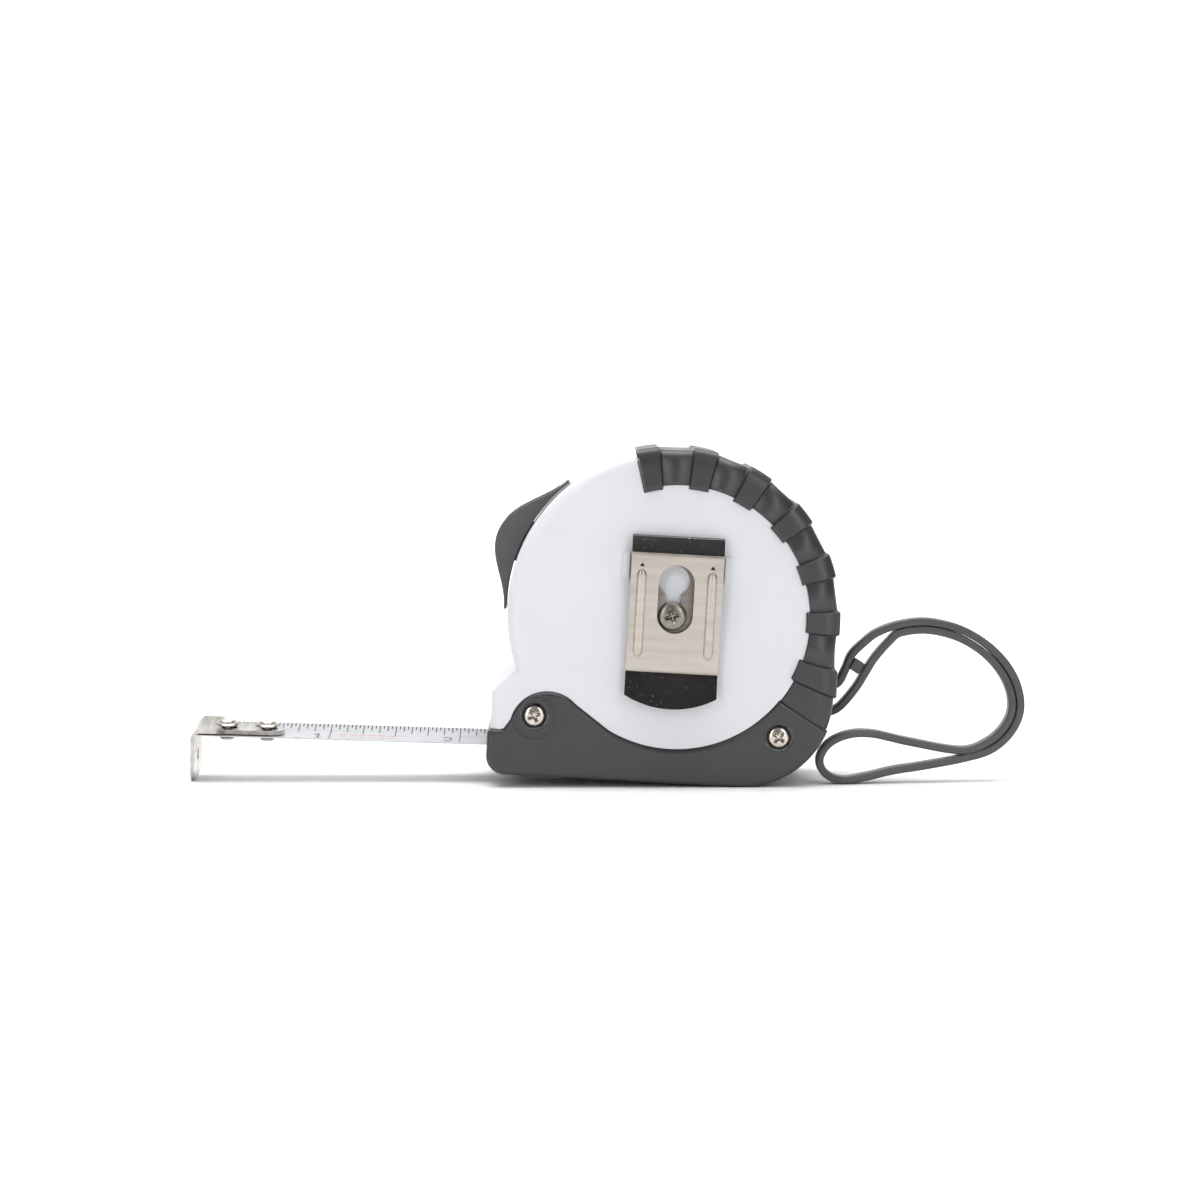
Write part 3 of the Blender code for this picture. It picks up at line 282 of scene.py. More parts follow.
# Dark nickel for the clip's top bend and lower tip: the dark base colour is a painted reflection, the specks are
# dust.
PAINTED_REFLECTION_METAL = speckled_metal("painted_reflection_nickel", (0.085, 0.08, 0.078), (0.42, 0.39, 0.36), (0.12, 0.22))
SPRING = rolled_metal("spring_blue", (0.16, 0.17, 0.21), (0.24, 0.25, 0.3), (0.3, 0.4), (1.0, 0.1, 1.0))
EDGE_STEEL = rolled_metal("blade_edge", (0.42, 0.43, 0.44), (0.52, 0.53, 0.54), (0.3, 0.4), (0.1, 1.0, 1.0))


def blade_paint():
    """White lacquer over steel, faintly blue, with dust and hairline wear along its length."""
    shader = Shader("blade_lacquer")
    wear = shader.noise(700.0, 4.0, 0.6, (0.05, 1.0, 1.0))
    worn, usual, clean = (0.39, 0.398, 0.415), (0.48, 0.488, 0.505), (0.53, 0.535, 0.55)
    shader.colour(wear, (0.28, worn), (0.5, usual), (0.75, clean))
    shader.gloss(500.0, 3.0, 0.34, 0.48)
    shader.bump(wear, 0.000008, 0.5)
    return shader.material


def printed_ink(name, dark, light):
    """Ink of the scale: slightly uneven where it was printed."""
    shader = Shader(name)
    shader.colour(shader.noise(1800.0, 3.0, 0.6), (0.3, dark), (0.72, light))
    shader.gloss(900.0, 3.0, 0.3, 0.45)
    return shader.material


LACQUER = blade_paint()
INK = printed_ink("scale_ink", (0.022, 0.023, 0.028), (0.06, 0.06, 0.068))
RED_INK = printed_ink("red_ink", (0.5, 0.09, 0.08), (0.6, 0.17, 0.15))


# ---------------------------------------------------------------- mesh tools


def mesh_from(name, vertices, faces):
    mesh = bpy.data.meshes.new(name)
    mesh.from_pydata([tuple(v) for v in vertices], [], faces)
    shape = bmesh.new()
    shape.from_mesh(mesh)
    if shape.calc_volume(signed=True) < 0:
        bmesh.ops.reverse_faces(shape, faces=shape.faces)
    shape.to_mesh(mesh)
    shape.free()
    return mesh


PLANES = {
    "X": lambda u, v, w: (w, u, v),
    "Y": lambda u, v, w: (u, w, v),
    "Z": lambda u, v, w: (u, v, w),
}


def slab(name, points, low, high, axis="Y", rounding=0.0, round_high=True, segments=5, both=False):
    """A flat outline made thick along an axis, with one rim or both rounded."""
    count = len(points)
    place = PLANES[axis]
    vertices = [place(u, v, low) for u, v in points] + [place(u, v, high) for u, v in points]
    faces = [list(range(count))[::-1], list(range(count, 2 * count))]
    faces += [[i, (i + 1) % count, count + (i + 1) % count, count + i] for i in range(count)]
    mesh = mesh_from(name, vertices, faces)
    if rounding:
        shape = bmesh.new()
        shape.from_mesh(mesh)
        index = "XYZ".index(axis)
        levels = (low, high) if both else ((high,) if round_high else (low,))
        rim = [
            edge for edge in shape.edges
            if any(all(abs(end.co[index] - level) < 0.001 for end in edge.verts) for level in levels)
            and edge.calc_face_angle(0.0) > math.radians(45)
        ]
        bmesh.ops.bevel(shape, geom=rim, offset=rounding, segments=segments, profile=0.5, affect="EDGES",
                        clamp_overlap=True)
        shape.to_mesh(mesh)
        shape.free()
    return mesh


def side_slab(name, points, near, far, side, rounding=0.0, segments=5):
    low, high = sorted((near * side, far * side))
    return slab(name, points, low, high, "Y", rounding, side > 0, segments)


def block(name, low, high):
    points = [(low[0], low[2]), (high[0], low[2]), (high[0], high[2]), (low[0], high[2])]
    return slab(name, points, low[1], high[1])


def evaluated(holder):
    bpy.context.view_layer.update()
    graph = bpy.context.evaluated_depsgraph_get()
    return bpy.data.meshes.new_from_object(holder.evaluated_get(graph))


def placed(name, data):
    obj = bpy.data.objects.new(name, data)
    bpy.context.scene.collection.objects.link(obj)
    return obj


def carve(mesh, steps, solver="EXACT"):
    """Applies ("DIFFERENCE" or "UNION", mesh) steps in order."""
    holder = placed("holder", mesh)
    others = []
    for operation, other in steps:
        helper = placed("holder", other)
        modifier = holder.modifiers.new("step", "BOOLEAN")
        modifier.operation = operation
        modifier.object = helper
        modifier.solver = solver
        others.append(helper)
    result = evaluated(holder)
    for helper in [holder] + others:
        bpy.data.objects.remove(helper)
    return result


def cuts(*meshes):
    """Steps for carve() that take each mesh away."""
    return [("DIFFERENCE", mesh) for mesh in meshes]


def soften(mesh, width, segments=2, angle=38.0):
    """Breaks sharp edges, as a mould or a tumbler does."""
    shape = bmesh.new()
    shape.from_mesh(mesh)
    bmesh.ops.remove_doubles(shape, verts=shape.verts, dist=0.004)
    bmesh.ops.dissolve_degenerate(shape, edges=shape.edges, dist=0.003)
    shape.to_mesh(mesh)
    shape.free()
    holder = placed("holder", mesh)
    modifier = holder.modifiers.new("soft", "BEVEL")
    modifier.width = width
    modifier.segments = segments
    modifier.limit_method = "ANGLE"
    modifier.angle_limit = math.radians(angle)
    modifier.use_clamp_overlap = True
    modifier.miter_outer = "MITER_ARC"
    result = evaluated(holder)
    bpy.data.objects.remove(holder)
    return result


def piece(name, mesh, materials, body, nodes=(), matrix=CASE, smooth=32.0):
    """A finished visible piece: its mesh is put in the world and rides on its body."""
    if not isinstance(materials, (list, tuple)):
        materials = [materials]
    mesh.transform(matrix)
    slots = [polygon.material_index for polygon in mesh.polygons]
    mesh.materials.clear()
    for material in materials:
        mesh.materials.append(material)
    mesh.polygons.foreach_set("material_index", slots)
    mesh.shade_smooth()
    mesh.set_sharp_from_angle(angle=math.radians(smooth))
    holder = placed("holder", mesh)
    modifier = holder.modifiers.new("even", "WEIGHTED_NORMAL")
    modifier.keep_sharp = True
    modifier.weight = 80
    mesh = evaluated(holder)
    bpy.data.objects.remove(holder)
    mesh.name = name
    obj = placed(name, mesh)
    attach(obj, body)
    if nodes:
        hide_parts(*nodes)
    return obj


def polar(radius, degrees, centre=(0.0, 0.0)):
    angle = math.radians(degrees)
    return (centre[0] + radius * math.cos(angle), centre[1] + radius * math.sin(angle))


def arc(centre, radius, start, end, step=2.5, steps=None):
    count = steps or max(1, round(abs(end - start) / step))
    return [polar(radius, start + (end - start) * i / count, centre) for i in range(count + 1)]


def circle(centre, radius, steps=48):
    return arc(centre, radius, 0.0, 360.0 * (steps - 1) / steps, steps=steps - 1)


def turned(name, profile, steps):
    """A closed solid from (radius, height) pairs turned about Z. The first and last lie on the axis."""
    vertices, faces = [(0.0, 0.0, profile[0][1]), (0.0, 0.0, profile[-1][1])], []
    rings = profile[1:-1]
    for radius, height in rings:
        for i in range(steps):
            angle = 2 * math.pi * i / steps
            vertices.append((radius * math.cos(angle), radius * math.sin(angle), height))
    for i in range(steps):
        j = (i + 1) % steps
        faces.append((0, 2 + i, 2 + j))
        for ring in range(len(rings) - 1):
            a, b = 2 + ring * steps, 2 + (ring + 1) * steps
            faces.append((a + i, b + i, b + j, a + j))
        last = 2 + (len(rings) - 1) * steps
        faces.append((1, last + j, last + i))
    return mesh_from(name, vertices, faces)


def grid_solid(name, rows, closed_rows=False):
    """A closed tube-like solid from rows of points, each row a closed ring, with capped ends."""
    count = len(rows[0])
    vertices = [p for row in rows for p in row]
    faces = []
    last = len(rows) if closed_rows else len(rows) - 1
    for r in range(last):
        a, b = r * count, ((r + 1) % len(rows)) * count
        faces += [(a + i, a + (i + 1) % count, b + (i + 1) % count, b + i) for i in range(count)]
    if not closed_rows:
        faces.append(list(range(count))[::-1])
        faces.append([(len(rows) - 1) * count + i for i in range(count)])
    return mesh_from(name, vertices, faces)


def smoothstep(value):
    value = max(0.0, min(1.0, value))
    return value * value * (3 - 2 * value)


# ---------------------------------------------------------------- camera and strap


def aim_camera():
    """Nearly level with the clip side, a little above it."""
    azimuth, elevation = math.radians(-0.5), math.radians(4.2)
    distance = 0.572
    back = Vector((math.sin(azimuth) * math.cos(elevation), -math.cos(azimuth) * math.cos(elevation),
                   math.sin(elevation)))
    right = Vector((math.cos(azimuth), math.sin(azimuth), 0.0))
    up = back.cross(right)
    near = CASE @ Vector((0.0, -HALF_W, 0.0))
    target = near - right * 0.01373 + up * 0.0030
    camera = placed("camera", bpy.data.cameras.new("camera"))
    camera.data.lens = 90.0
    camera.data.sensor_width = 36.0
    camera.data.clip_end = 20.0
    camera.location = target + back * distance
    camera.rotation_euler = back.to_track_quat("Z", "Y").to_euler()
    bpy.context.scene.camera = camera


STRAP_W = 3.2
STRAP_T = 1.52
STRAND_PITCH = 1.6
# Millimetres from the spool's axis, upright: +X back, -Y towards the clip side.
STRAP_FROM_CASE = [
    (25.9, 0.0, -16.6), (26.6, 0.0, -14.9), (30.0, 0.0, -14.8), (32.7, -0.5, -14.2), (34.2, -1.2, -11.4),
    (35.3, -1.8, -8.6), (37.3, -2.3, -6.4), (40.2, -2.7, -4.1),
]
STRAP_DOUBLE_RUN = [
    (44.7, -3.0, -3.3), (50.1, -3.0, -2.8), (56.5, -3.2, -4.4), (62.2, -3.4, -8.1), (66.0, -3.7, -13.1),
    (67.2, -4.0, -18.4), (65.6, -4.4, -22.7), (61.9, -4.8, -26.0), (56.6, -5.2, -27.6),
]
STRAP_LOOP = [
    (49.0, -6.2, -29.7), (43.0, -7.0, -30.5), (37.8, -7.8, -31.6), (33.2, -8.4, -32.2), (29.9, -8.2, -31.0),
    (28.7, -7.9, -28.3), (30.4, -7.6, -25.3), (34.2, -7.3, -23.5), (39.0, -6.7, -23.4), (46.0, -6.0, -25.0),
]
STRAP_TO_CASE = [
    (42.5, -3.0, -5.8), (39.6, -2.7, -9.2), (37.9, -2.2, -12.1), (35.9, -1.6, -15.4), (32.7, -0.7, -19.1),
    (29.4, 0.0, -20.1), (27.2, 0.0, -20.0), (26.0, 0.0, -19.1),
]


def catmull_rom(points, pieces):
    path = []
    last = len(points) - 1
    for i in range(last):
        a, b, c, d = (points[max(i - 1, 0)], points[i], points[i + 1], points[min(i + 2, last)])
        for k in range(pieces):
            t = k / pieces
            path.append(0.5 * (2 * b + (c - a) * t + (2 * a - 5 * b + 4 * c - d) * t**2
                               + (3 * b - a - 3 * c + d) * t**3))
    path.append(points[last])
    return path


def strap_route():
    run = [Vector(point) for point in STRAP_DOUBLE_RUN]
    outer, inner = [], []
    for i, point in enumerate(run):
        along = (run[min(i + 1, len(run) - 1)] - run[max(i - 1, 0)]).normalized()
        outward = Vector((-along.z, 0.0, along.x)).normalized()
        outer.append(point + outward * STRAND_PITCH / 2)
        inner.append(point - outward * STRAND_PITCH / 2)
    route = [Vector(point) for point in STRAP_FROM_CASE] + outer
    route += [Vector(point) for point in STRAP_LOOP] + inner[::-1]
    return route + [Vector(point) for point in STRAP_TO_CASE]


def rounded_section(width, height, radius, steps=4):
    """Points of a rounded rectangle, width along the first axis."""
    points = []
    for turn, (sx, sy) in enumerate(((1, 1), (-1, 1), (-1, -1), (1, -1))):
        centre = (sx * (width / 2 - radius), sy * (height / 2 - radius))
        points += arc(centre, radius, turn * 90.0, turn * 90.0 + 90.0, steps=steps)
    return points


def make_strap():
    """A flat moulded loop, one strand out and one back, and the bar moulded between them."""
    path = catmull_rom(strap_route(), 8)
    section = rounded_section(STRAP_W, STRAP_T, 0.42)
    rows = []
    for i, point in enumerate(path):
        along = (path[min(i + 1, len(path) - 1)] - path[max(i - 1, 0)]).normalized()
        across = (Vector((0.0, 1.0, 0.0)) - along * along.y).normalized()
        normal = along.cross(across)
        rows.append([point + across * u + normal * v for u, v in section])
    strap = piece("strap_loop", grid_solid("strap", rows), STRAP, "case", matrix=UPRIGHT)
    bar = slab("strap_bar", rounded_section(2.3, 2.4, 0.3, 2), -1.3, 1.3, "Y", 0.25, segments=3, both=True)
    at = Vector((36.35, -3.5 + 1.3, -10.7))
    turn = Matrix.Translation(at) @ Matrix.Rotation(math.radians(33.0), 4, "Y")
    bar = piece("strap_bar", bar, STRAP, "case", matrix=UPRIGHT @ turn)
    world = [UPRIGHT @ point for point in catmull_rom(strap_route(), 2)]
    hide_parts("wrist_strap")
    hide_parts("strap_bridge")


aim_camera()
make_strap()


# ---------------------------------------------------------------- case


def chamfer_meets_round(inset):
    offset = CHAMFER_Z - FRONT_X - inset * math.sqrt(2)
    x = (-offset - math.sqrt(2 * (CASE_R - inset) ** 2 - offset**2)) / 2
    return math.degrees(math.atan2(x + offset, x)) % 360


def case_outline(inset):
    corner_r = max(FRONT_CORNER_R - inset, 0.5)
    corner = (FRONT_X + inset + corner_r, BASE_Z + inset + corner_r)
    points = arc((0.0, 0.0), CASE_R - inset, 0.0, chamfer_meets_round(inset))
    points.append((FRONT_X + inset, CHAMFER_Z + inset - inset * math.sqrt(2)))
    points += arc(corner, corner_r, 180.0, 270.0, 10.0)
    points += arc(HEEL, HEEL_R - inset, -90.0, 0.0)
    return points


def reach_disc(angle, radius):
    """Distance from the spool's axis to the rim of the disc's circle along a ray."""
    centre = Vector(DISC)
    reach = Vector(polar(1.0, angle)).dot(centre)
    return reach + math.sqrt(radius**2 - centre.length_squared + reach**2)


def reach_outline(angle, proud):
    """Distance from the spool's axis to the outline along a ray: round top, straight back, heel."""
    radius = CASE_R + proud
    if angle >= 0:
        return radius
    cosine, sine = math.cos(math.radians(angle)), math.sin(math.radians(angle))
    if radius * sine / cosine >= HEEL[1]:
        return radius / cosine
    reach = cosine * HEEL[0] + sine * HEEL[1]
    return reach + math.sqrt((HEEL_R + proud) ** 2 - HEEL[0] ** 2 - HEEL[1] ** 2 + reach**2)


def rib_outline(index, proud, grow):
    middle = RIB_FIRST - index * RIB_PITCH
    half = RIB_WIDTH / 2 + math.degrees(grow / CASE_R)
    angles = [middle + half * (i / 3 - 1) for i in range(7)]
    points = []
    for angle in angles:
        reach = CASE_R + proud if angle >= 0 else (CASE_R + proud) / math.cos(math.radians(angle))
        points.append(polar(reach, angle))
    return points + [polar(reach_disc(angle, RIB_INNER_R - grow), angle) for angle in reversed(angles)]


def grip_outline(proud, grow):
    end = GRIP_END + math.degrees(grow / CASE_R)
    points = arc(DISC, DISC_R - grow, end, DISC_FOOT - math.degrees(grow / DISC_R))
    points += arc(HEEL, HEEL_R + proud, HEEL_FOOT - math.degrees(grow / HEEL_R), 0.0)
    points += arc((0.0, 0.0), CASE_R + proud, 0.0, end)
    return points


def bumper_outline(proud, grow):
    corner = (FRONT_X - proud + FRONT_CORNER_R, BASE_Z - proud + FRONT_CORNER_R)
    gap = TIGHT - grow
    points = arc(corner, FRONT_CORNER_R, 270.0, 180.0, 8.0)
    shelf_end = HUMP[0] - HUMP_R - 1.4
    points += [(FRONT_X - proud, SHELF_Z - 0.6 + grow), (FRONT_X - proud + 0.6, SHELF_Z + grow)]
    points += [(shelf_end - 0.5, SHELF_Z + grow), (shelf_end + 0.3, SHELF_Z + 0.25 + grow)]
    points += arc(HUMP, HUMP_R + grow, 168.0, 44.0)
    points += arc(DISC, DISC_R - 0.2 - grow, -118.0, DISC_FOOT - math.degrees(gap / DISC_R))
    points += arc(HEEL, HEEL_R + proud, HEEL_FOOT - math.degrees(gap / HEEL_R), -90.0)
    return points


def recess(name, side, outlines):
    inset = RUBBER_T + TIGHT
    top = HALF_W + PAST
    steps = [("UNION", side_slab(name, outline, -1.0, top, side)) for outline in outlines[1:]]
    core = side_slab(name, case_outline(inset), -2.0, HALF_W - inset, side)
    return carve(side_slab(name, outlines[0], -1.0, top, side), steps + cuts(core))


def mouth_cutter(grow=0.0):
    half = BLADE_W / 2 + MOUTH_SIDE + grow
    low = (FRONT_X - PAST, -half, BLADE_Z - MOUTH_UNDER - grow)
    return block("mouth", low, (FRONT_X + WALL + PAST, half, BLADE_Z + MOUTH_OVER + grow))


def strap_holes():
    return [block("hole", (25.8, -2.1, height - 1.3), (34.5, 2.1, height + 1.3)) for height in STRAP_HOLE_Z]


def lock_slot():
    points = arc((0.0, 0.0), CASE_R + 3.0, 148.0, 171.0) + arc((0.0, 0.0), CASE_R - 5.7, 171.0, 148.0)
    return slab("lock_slot", points, -3.3, 3.3)


def cylinder(centre, radius, near, far, side, steps=48):
    return side_slab("cylinder", circle(centre, radius, steps), near, far, side)


def make_case_half(side, label):
    steps = cuts(side_slab("cavity", case_outline(WALL), -1.0, HALF_W - WALL, side))
    for centre in (FRONT_SCREW, REAR_SCREW):
        steps.append(("UNION", cylinder(centre, 2.2, SEAM, HALF_W - WALL + 0.5, side)))
    ribs = [rib_outline(index, PAST, TIGHT) for index in range(RIB_COUNT)]
    steps += cuts(recess("grip_recess", side, [grip_outline(PAST, TIGHT)] + ribs),
                  recess("bumper_recess", side, [bumper_outline(PAST, TIGHT)]),
                  mouth_cutter(), lock_slot(), *strap_holes())
    if side < 0:
        for centre in (FRONT_SCREW, REAR_SCREW):
            steps += cuts(cylinder(centre, 2.6, 11.0, 16.0, side))
        for turn in (-1, 1):
            middle = CLIP_X + turn * (CLIP_W / 2 + CLIP_GAP + 0.6)
            rail = block("rail", (middle - 0.6, -HALF_W - 0.9, 6.6), (middle + 0.6, -HALF_W + 0.5, 11.6))
            steps.append(("UNION", rail))
    else:
        steps += cuts(cylinder(DISC, 20.6, HALF_W - 0.35, HALF_W + 1.0, side, 120))
    body = side_slab("half", case_outline(0.0), SEAM, HALF_W, side, 2.4, 9)
    mesh = soften(carve(body, steps), 0.22, 3)
    return piece(f"shell_{label}", mesh, WHITE, "case", [f"case_half_{label}_side"])


def make_bumper(side, label):
    face = HALF_W + BUMPER_PROUD
    pad_low = BASE_Z - BUMPER_PROUD - 0.5
    pad = [(-28.0, BASE_Z - 0.2), (-27.0, pad_low), (-20.0, pad_low), (-19.0, BASE_Z - 0.2)]
    steps = [("UNION", side_slab("pad", pad, SEAM, HALF_W - 1.5, side))]
    steps += cuts(side_slab("core", case_outline(RUBBER_T), -1.0, HALF_W - RUBBER_T, side),
                  mouth_cutter(0.1), *strap_holes())
    if side < 0:
        for centre in (FRONT_SCREW, REAR_SCREW):
            steps += cuts(cylinder(centre, SCREW_WELL_R, 5.0, face + 1.0, side))
        steps += cuts(carve(cylinder(FRONT_SCREW, 4.35, face - 0.22, face + 1.0, side),
                            cuts(cylinder(FRONT_SCREW, 3.75, face - 2.0, face + 2.0, side))))
    body = side_slab("bumper", bumper_outline(BUMPER_PROUD, 0.0), SEAM, face, side, 1.0, 5)
    mesh = soften(carve(body, steps), 0.09, 2)
    return piece(f"base_rubber_{label}", mesh, RUBBER, "case", [f"bumper_{label}_side"])


def rib_share(angle):
    """1 on a raised rib, 0 between ribs, with a steep moulded flank."""
    nearest = round((RIB_FIRST - angle) / RIB_PITCH)
    nearest = max(0, min(RIB_COUNT - 1, nearest))
    distance = abs(angle - (RIB_FIRST - nearest * RIB_PITCH))
    return smoothstep((RIB_WIDTH / 2 - distance) / 1.1 + 0.5)


def valley_share(angle):
    """How far into the hollow between two ribs, 0 at a rib and 1 half way."""
    place = ((RIB_FIRST - angle) / RIB_PITCH) % 1.0
    spare = RIB_WIDTH / RIB_PITCH / 2
    if place < spare or place > 1 - spare or angle < RIB_FIRST - (RIB_COUNT - 1) * RIB_PITCH:
        return 0.0
    return math.sin(math.pi * (place - spare) / (1 - 2 * spare))


def grip_angles():
    """Close steps on each rib's flanks, wider ones between."""
    angles = {GRIP_END, GRIP_FOOT}
    angle = GRIP_END
    while angle > GRIP_FOOT:
        angles.add(angle)
        angle -= 1.1
    for index in range(RIB_COUNT):
        for turn in (-1, 1):
            edge = RIB_FIRST - index * RIB_PITCH + turn * RIB_WIDTH / 2
            angles |= {edge + 0.11 * k for k in range(-7, 8)}
    return sorted((a for a in angles if GRIP_FOOT <= a <= GRIP_END), reverse=True)


def grip_row(angle, side):
    """One closed section of the ribbed band, across a ray from the spool's axis."""
    rib = rib_share(angle)
    dip = valley_share(angle) * (1 - rib)
    outer = reach_outline(angle, BAND_PROUD + (RIB_PROUD_ON_TOP - BAND_PROUD) * rib - 0.2 * dip)
    inner = reach_disc(angle, DISC_R + (RIB_INNER_R - DISC_R) * rib)
    face = HALF_W + BAND_PROUD + (RIB_PROUD - BAND_PROUD) * rib + 0.6 * dip - 0.14 * (1 - rib)
    floor = HALF_W - RUBBER_T
    back = reach_outline(angle, -RUBBER_T)
    rim, depth_rim, lip = 3.9 - 0.5 * rib, 2.0 - 0.3 * rib, 0.45
    section = [(inner, floor), (inner, face - lip)]
    section += [(inner + lip - lip * math.cos(math.radians(a)), face - lip + lip * math.sin(math.radians(a)))
                for a in (30, 60, 90)]
    section += [(inner + (outer - rim - inner) * k / 4, face) for k in (1, 2, 3)]
    for a in range(0, 91, 10):
        turn = math.radians(a)
        section.append((outer - rim + rim * math.sin(turn), face - depth_rim * (1 - math.cos(turn))))
    section += [(outer, face * 0.66), (outer, face * 0.33), (outer, SEAM + 0.12), (outer - 0.12, SEAM)]
    section += [(back, SEAM), (back, floor)]
    row = []
    for radius, depth in section:
        share = (radius - inner) / (outer - inner)
        near_foot = smoothstep((10.0 - angle) / (10.0 - GRIP_FOOT))
        skew = (GRIP_FOOT_INNER + GRIP_FOOT_SKEW * share - GRIP_FOOT) * near_foot
        x, z = polar(radius, angle + skew)
        row.append((x, depth * side, z))
    return row


def make_grip(side, label):
    rows = [grip_row(angle, side) for angle in grip_angles()]
    mesh = carve(grid_solid("grip", rows), cuts(*strap_holes()))
    nodes = [f"grip_{label}_side"]
    return piece(f"ribbed_rubber_{label}", mesh, RUBBER, "case", nodes, smooth=50.0)


for case_side, case_label in ((-1, "clip"), (1, "label")):
    make_case_half(case_side, case_label)
    make_bumper(case_side, case_label)
    make_grip(case_side, case_label)


# ---------------------------------------------------------------- thumb lock


def lock_height(angle):
    end = LOCK_TOP if angle < LOCK_PEAK_AT else LOCK_FOOT
    share = (angle - end) / (LOCK_PEAK_AT - end)
    return LOCK_PEAK * (0.5 - 0.5 * math.cos(math.pi * share)) ** 1.25


def front_run(inset):
    x = FRONT_X + inset
    points = arc((0.0, 0.0), CASE_R - inset, 150.0, chamfer_meets_round(inset))
    return points + [(x, CHAMFER_Z + inset - inset * math.sqrt(2)), (x, LOCK_LEG_Z)]


def make_lock():
    inner = CASE_R + LOCK_CLEAR
    points = []
    for i in range(61):
        angle = LOCK_TOP + (LOCK_FOOT - LOCK_TOP) * i / 60
        points.append(polar(inner + 0.5 + lock_height(angle), angle))
    points += arc((0.0, 0.0), inner, LOCK_FOOT, LOCK_TOP)
    hollow = []
    start, end = LOCK_HOLLOW
    for i in range(25):
        angle = start + (end - start) * i / 24
        depth = 0.75 * math.sin(math.pi * (angle - start) / (end - start)) ** 0.5
        hollow.append(polar(inner + 0.5 + lock_height(angle) - depth, angle))
    hollow += [polar(inner + 9.0, angle) for angle in (end, 144.0, start)]
    body = slab("lock", points, -5.0, 5.0, rounding=0.35, both=True, segments=4)
    body = carve(body, cuts(slab("hollow", hollow, -3.9, 3.9)))
    neck = arc((0.0, 0.0), inner + 0.2, *LOCK_NECK) + arc((0.0, 0.0), CASE_R - 4.1, *LOCK_NECK[::-1])
    arm = front_run(WALL + LOCK_CLEAR) + front_run(WALL + 1.4)[::-1]
    body = carve(body, [("UNION", slab("neck", neck, -3.0, 3.0)), ("UNION", slab("arm", arm, -3.0, 3.0))])
    foot = block("foot", (-30.45, -5.2, LOCK_LEG_Z), (-29.45, 5.2, -21.4))
    slot = block("slot", (-31.5, -3.8, -25.3), (-28.4, 3.8, -22.2))
    mesh = soften(carve(body, [("UNION", foot), ("DIFFERENCE", slot)]), 0.12, 2)
    piece("lock_button", mesh, LOCK_BLACK, "lock", ["thumb_lock"])


make_lock()


# ---------------------------------------------------------------- blade, scale, hook


def cup(across):
    return CUP * (2 * across / BLADE_W) ** 2


def make_blade():
    """The cupped steel strip: lacquer above and below, bare steel along its edges."""
    across = [BLADE_W * (i / 24 - 0.5) for i in range(25)]
    rows = []
    for k in range(25):
        x = -BLADE_OUT + (BLADE_OUT + BLADE_IN) * k / 24
        top = [(x, y, cup(y)) for y in across]
        rows.append(top + [(x, y, z - BLADE_T) for x, y, z in reversed(top)])
    mesh = grid_solid("blade", rows)
    holes = [slab("hole", circle((-BLADE_OUT + along, 0.0), RIVET_HOLE_R, 24), -1.0, 1.0, "Z")
             for along in RIVETS]
    mesh = carve(mesh, cuts(*holes))
    for face in mesh.polygons:
        face.material_index = 1 if abs(face.normal.z) < 0.4 else 0
    piece("measuring_blade", mesh, [LACQUER, EDGE_STEEL], "tape", ["blade"], BLADE)


def ribbon(strokes, height=0.018):
    """Printed lines on the blade: each stroke is a list of (x, y) points and a width."""
    vertices, faces = [], []
    for points, width in strokes:
        dense = [Vector(points[0])]
        for a, b in zip(points, points[1:]):
            a, b = Vector(a), Vector(b)
            count = max(1, round((b - a).length / 0.35))
            dense += [a + (b - a) * i / count for i in range(1, count + 1)]
        start = len(vertices)
        for i, point in enumerate(dense):
            along = (dense[min(i + 1, len(dense) - 1)] - dense[max(i - 1, 0)]).normalized()
            normal = Vector((-along.y, along.x)) * width / 2
            for side in (-1, 1):
                place = point + normal * side
                for lift in (-0.02, height):
                    vertices.append((place.x, place.y, cup(place.y) + lift))
        ring = (0, 1, 3, 2)
        for i in range(len(dense) - 1):
            a, b = start + 4 * i, start + 4 * (i + 1)
            faces += [(a + ring[k], a + ring[(k + 1) % 4], b + ring[(k + 1) % 4], b + ring[k]) for k in range(4)]
        end = start + 4 * (len(dense) - 1)
        faces += [(start + 2, start + 3, start + 1, start), (end, end + 1, end + 3, end + 2)]
    mesh = bpy.data.meshes.new("print")
    mesh.from_pydata(vertices, [], faces)
    shape = bmesh.new()
    shape.from_mesh(mesh)
    bmesh.ops.recalc_face_normals(shape, faces=shape.faces)
    shape.to_mesh(mesh)
    shape.free()
    return mesh


# Strokes of the numerals, in a box 1 wide and 1 tall
DIGITS = {
    1: [[(0.15, 0.72), (0.55, 1.0), (0.55, 0.0)], [(0.2, 0.0), (0.9, 0.0)]],
    2: [[(0.1, 0.75), (0.3, 0.97), (0.7, 0.97), (0.9, 0.75), (0.85, 0.55), (0.1, 0.0), (0.92, 0.0)]],
    3: [[(0.1, 0.85), (0.35, 1.0), (0.75, 0.95), (0.85, 0.75), (0.7, 0.55), (0.4, 0.52)],
        [(0.7, 0.52), (0.9, 0.3), (0.8, 0.06), (0.35, 0.0), (0.1, 0.15)]],
}


def numeral(digit, x, y, width, height, line):
    return [([(x + u * width, y + v * height) for u, v in stroke], line) for stroke in DIGITS[digit]]


